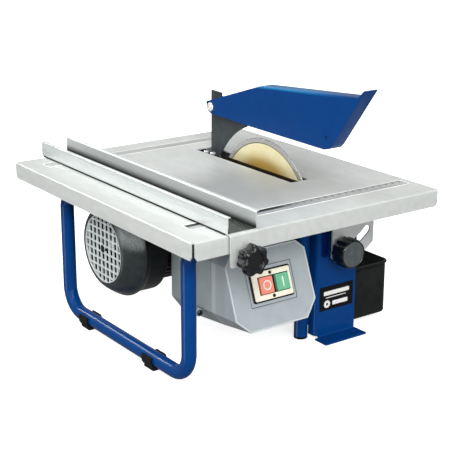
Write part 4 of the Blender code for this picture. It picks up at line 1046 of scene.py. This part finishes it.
def build_can(start, end):
    """Motor body with low cooling ribs along it."""
    outer, root = 0.0505, 0.0489
    ribs = 44
    outline = []
    for i in range(ribs):
        step = 360 / ribs
        for part, radius in ((0.0, root), (0.30, root), (0.42, outer), (0.88, outer)):
            a = math.radians(step * (i + part))
            outline.append((radius * math.cos(a), AXLE_Z + radius * math.sin(a)))
    plate("motor_body", [outline, circle(0, AXLE_Z, 0.0480, 96)], start, end, "X", BLACK, "base",
          "black_plastic", ["motor_can"], edge=0.0003)


def build_grille(left):
    """Finger guard: round, with a grid of square openings and a boss in the middle."""
    radius = 0.0385
    pitch = 0.0087
    opening = 0.0075
    start, end = left + 0.0003, left + 0.0024
    obj = plate("fan_guard", [circle(0, HOUSING_Z, radius, 96)], start, end, "X", GRILLE, "base",
                "black_plastic", ["fan_grille"], edge=0)
    squares = bmesh.new()
    reach = 5
    for column in range(-reach, reach + 1):
        for row in range(-reach, reach + 1):
            made = bmesh.ops.create_cube(squares, size=opening)
            spot = place((start + end) / 2, column * pitch, HOUSING_Z + row * pitch)
            bmesh.ops.translate(squares, vec=spot, verts=made["verts"])
    tool = bpy.data.objects.new("openings", to_mesh("openings", squares))
    bpy.context.scene.collection.objects.link(tool)
    carve(tool, plate_shape([circle(0, HOUSING_Z, radius - 0.0009, 96)], start - 0.004, end + 0.004, "X"),
          "INTERSECT")
    shape = bmesh.new()
    shape.from_mesh(tool.data)
    bpy.data.objects.remove(tool)
    carve(obj, shape)
    rounded(obj, 0.0003, 2, 50)
    boss = [(-0.0002, 0.0), (-0.0002, 0.0040), (0.0004, 0.0052), (0.0020, 0.0052), (0.0020, 0.0)]
    turned("fan_guard_boss", boss, (start, 0, HOUSING_Z), "X", BLACK, "base", steps=40)


# ---------------------------------------------------------------- switch box
def leaning_y(z):
    return BOX_BROW_Y - math.tan(BOX_LEAN) * (BOX_TOP - z)


def on_panel(x, z):
    """Frame that stands on the leaning face: x to the right, y into the box, z up the face."""
    turn = Matrix.Rotation(-BOX_LEAN, 4, "X")
    return Matrix.Translation(place(x, leaning_y(z), z)) @ turn


def panel_plate(name, outlines, low, high, look, body, slot, centre, nodes=(), edge=0.0003):
    """A flat piece on the leaning face; outlines are (x, up the face) from the centre."""
    back = Matrix.Translation((0, -CENTRE_Y, 0))
    return plate(name, outlines, low, high, "Y", look, body, slot, nodes, edge, on_panel(*centre) @ back)


def build_switch_box():
    """Two shells, the rear one in a darker grey as painted shade, the switch on the leaning face, a lug low
    on the left and a bead round the face in a paler grey as a painted highlight.
    """
    from_node("switch_box_front", "box_front", GREY, "base", 0.0016, 3)
    # rear shell in a darker grey: painted shade
    from_node("switch_box_rear", "box_rear", GREY_SHADED, "base", 0.0012, 2)
    centre = (SWITCH_X, SWITCH_Z)
    wide, tall = 0.0318, 0.0222
    frame_outline = centred(wide, tall, 0.0015)
    inner = rounded_rectangle(-wide + 0.0012, -tall + 0.0012, wide - 0.0012, tall - 0.0012, 0.0010)
    panel_plate("panel_frame", [frame_outline, inner], -0.0007, 0.0002, GREY, "base", "grey_plastic", centre)
    wide, tall = wide - 0.0014, tall - 0.0014
    groove = centred(wide, tall, 0.0010)
    inner = rounded_rectangle(-wide + 0.0006, -tall + 0.0006, wide - 0.0006, tall - 0.0006, 0.0008)
    panel_plate("panel_groove", [groove, inner], -0.0002, 0.0002, KNIFE, "base", "grey_plastic", centre,
                edge=0.0001)
    gasket = centred(0.0268, 0.0168, 0.0022)
    hole = centred(0.0205, 0.0105, 0.0008)
    panel_plate("switch_gasket", [gasket, hole], -0.0016, 0.0002, BLACK, "base", "black_plastic", centre)
    cream = centred(0.0252, 0.0152, 0.0016)
    hole = rounded_rectangle(-0.0182, -0.0096, 0.0222, 0.0096, 0.0008)
    panel_plate("switch_plate", [cream, hole], -0.0032, -0.0017, CREAM, "base", "cream_plastic", centre,
                ["switch_bezel"], edge=0.0005)
    well = rounded_rectangle(-0.0200, -0.0102, 0.0225, 0.0102, 0.0005)
    panel_plate("switch_well", [well], 0.0036, 0.0042, BLACK, "base", "black_plastic", centre)
    for name, shift, look, slot in (("off", OFF_KEY, RED, "red_plastic"),
                                    ("on", ON_KEY, GREEN, "green_plastic")):
        spot = (SWITCH_X + shift, SWITCH_Z)
        key = centred(0.0083, 0.0089, 0.0010)
        panel_plate("key_" + name, [key], -0.0051, 0.0000, look, "button_" + name, slot, spot,
                    ["button_" + name], edge=0.0008)
    off = (SWITCH_X + OFF_KEY, SWITCH_Z)
    panel_plate("mark_off", [circle(0, 0, 0.0052, 40), circle(0, 0, 0.0040, 40)], -0.0053, -0.0050, WHITE,
                "button_off", "cream_plastic", off, edge=0.0001)
    on = (SWITCH_X + ON_KEY, SWITCH_Z)
    panel_plate("mark_on", [centred(0.0007, 0.0055, 0.0005)], -0.0053, -0.0050,
                WHITE, "button_on", "cream_plastic", on, edge=0.0001)
    for number, (x, z) in enumerate(((-0.0010, 0.0124), (-0.0010, -0.0124)), 1):
        spot = (SWITCH_X + x, SWITCH_Z)
        matrix = on_panel(*centre) @ Matrix.Translation((x, -0.0032, z))
        screw("switch_screw_%d" % number, matrix, 0.0019, BLACK)
    # lug with a domed screw low on the box's left side
    lug = (-0.1065, -0.1130, 0.0617)
    turned("box_lug", [(0.0, 0.0), (0.0, 0.0036), (0.0004, 0.0045), (0.0100, 0.0045), (0.0100, 0.0)],
           (lug[0], lug[1] - 0.0020, lug[2]), "Y", GREY, "base", steps=40, edge=0.0003)
    screw("lug_screw", Matrix.Translation(place(lug[0], lug[1] - 0.0022, lug[2])), 0.0034, GLOSS)
    # bead round the face in a paler grey: painted highlight
    section = [(-0.0055, 0.134), (0.0045, 0.1253), (0.0055, 0.0720), (-0.0098, 0.0548), (-0.0864, 0.0548),
               (-0.1020, 0.0685), (-0.1020, 0.1225), (-0.0930, 0.134)]
    middle = Vector((-0.0482, 0.0944))
    inset = [middle + (Vector(point) - middle) * 0.982 for point in section]
    bead = [place(x, leaning_y(z), z) for x, z in inset]
    tube("box_bead", bead, 0.0010, GREY_HIGHLIGHT, "base", closed=True, resolution=4)


def screw(name, matrix, radius, look):
    """Domed screw head with a cross recess, pointing to -y."""
    shape = bmesh.new()
    steps = 28
    rows = [(0.0004, 1.0), (-0.15 * radius, 1.0), (-0.42 * radius, 0.86), (-0.58 * radius, 0.60),
            (-0.64 * radius, 0.30)]
    loops = []
    for along, scale in rows:
        loops.append([shape.verts.new((radius * scale * math.cos(2 * math.pi * i / steps), along,
                                       radius * scale * math.sin(2 * math.pi * i / steps)))
                      for i in range(steps)])
    sleeve(shape, loops)
    shape.faces.new(loops[0])
    shape.faces.new(loops[-1])
    bmesh.ops.transform(shape, matrix=matrix, verts=shape.verts)
    obj = add(name, to_mesh(name, shape), look, "base")
    for turn in (0, 90):
        slot_shape = bmesh.new()
        bmesh.ops.create_cube(slot_shape, size=1.0)
        size = Matrix.Diagonal((radius * 1.1, radius * 0.5, radius * 0.22, 1))
        spin = Matrix.Rotation(math.radians(turn), 4, "Y")
        crown = Matrix.Translation((0, -0.64 * radius, 0))
        bmesh.ops.transform(slot_shape, matrix=matrix @ crown @ spin @ size, verts=slot_shape.verts)
        carve(obj, slot_shape)
    return obj


# ---------------------------------------------------------------- tank
def build_tank():
    """Deep tray with drafted, rounded walls and a rolled rim."""
    low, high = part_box("water_tank")
    y0, y1 = low.y - CENTRE_Y, high.y - CENTRE_Y
    inset = 0.0020
    levels = [(0.0058, 0.0040, 0.0075), (0.0065, 0.0028, 0.0080), (0.0090, 0.0021, 0.0085),
              (high.z - 0.0016, inset, 0.0090)]
    shape = bmesh.new()
    loops = []
    for z, step, corner in levels:
        outline = rounded_rectangle(low.x + step, y0 + step, high.x - step, y1 - step, corner, 6)
        loops.append([shape.verts.new(place(u, v, z)) for u, v in outline])
    sleeve(shape, loops)
    shape.faces.new(loops[0])
    look_along(shape, lowest, (0, 0, -1))
    obj = add("tank_tray", to_mesh("tank_tray", shape, tidy=False), TANK, "base",
              ["water_tank"])
    solid(obj, 0.0020, -1)
    rim = rounded_rectangle(low.x + 0.0017, y0 + 0.0017, high.x - 0.0017, y1 - 0.0017, 0.0095, 8)
    tube("tank_rim", [place(u, v, high.z - 0.0017) for u, v in rim], 0.0016, TANK, "base",
         closed=True, resolution=5)
    for number, y in enumerate((-0.075, 0.075), 1):
        plate("tank_runner_%d" % number,
              [rounded_rectangle(low.x + 0.014, y - 0.006, high.x - 0.014, y + 0.006, 0.003)], 0.0, 0.0062,
              "Z", TANK, "base", "black_plastic", edge=0.0006)


# ---------------------------------------------------------------- carried-over CAD nodes
def finish_nodes():
    plain = {
        "motor_plate": BLUE, "splash_shield": BLACK, "motor_shaft": CHROME, "rotor_core": KNIFE,
        "cooling_fan": RUBBER, "stator": COPPER, "end_shield_fan_side": ZINC, "bearing_fan_side": CHROME,
        "bearing_blade_side": CHROME, "run_capacitor": ZINC, "switch_body": BLACK, "cable_gland": BLACK,
        "motor_bolt_1": CHROME, "motor_bolt_2": CHROME, "motor_bolt_3": CHROME, "motor_bolt_4": CHROME,
    }
    for node, look in plain.items():
        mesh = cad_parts[node].data
        mesh.materials.clear()
        mesh.materials.append(look.material)


build_camera()
build_world()
build_lights()
build_floor()
build_table()
build_rules()
build_fence()
build_star_knob()
build_frame()
for side, name in ((-1, "front"), (1, "rear")):
    build_column(side, name)
build_label()
build_quadrants()
build_guard()
build_knife()
build_blade()
build_motor()
build_switch_box()
build_tank()
finish_nodes()
bpy.context.scene.view_settings.view_transform = "Standard"
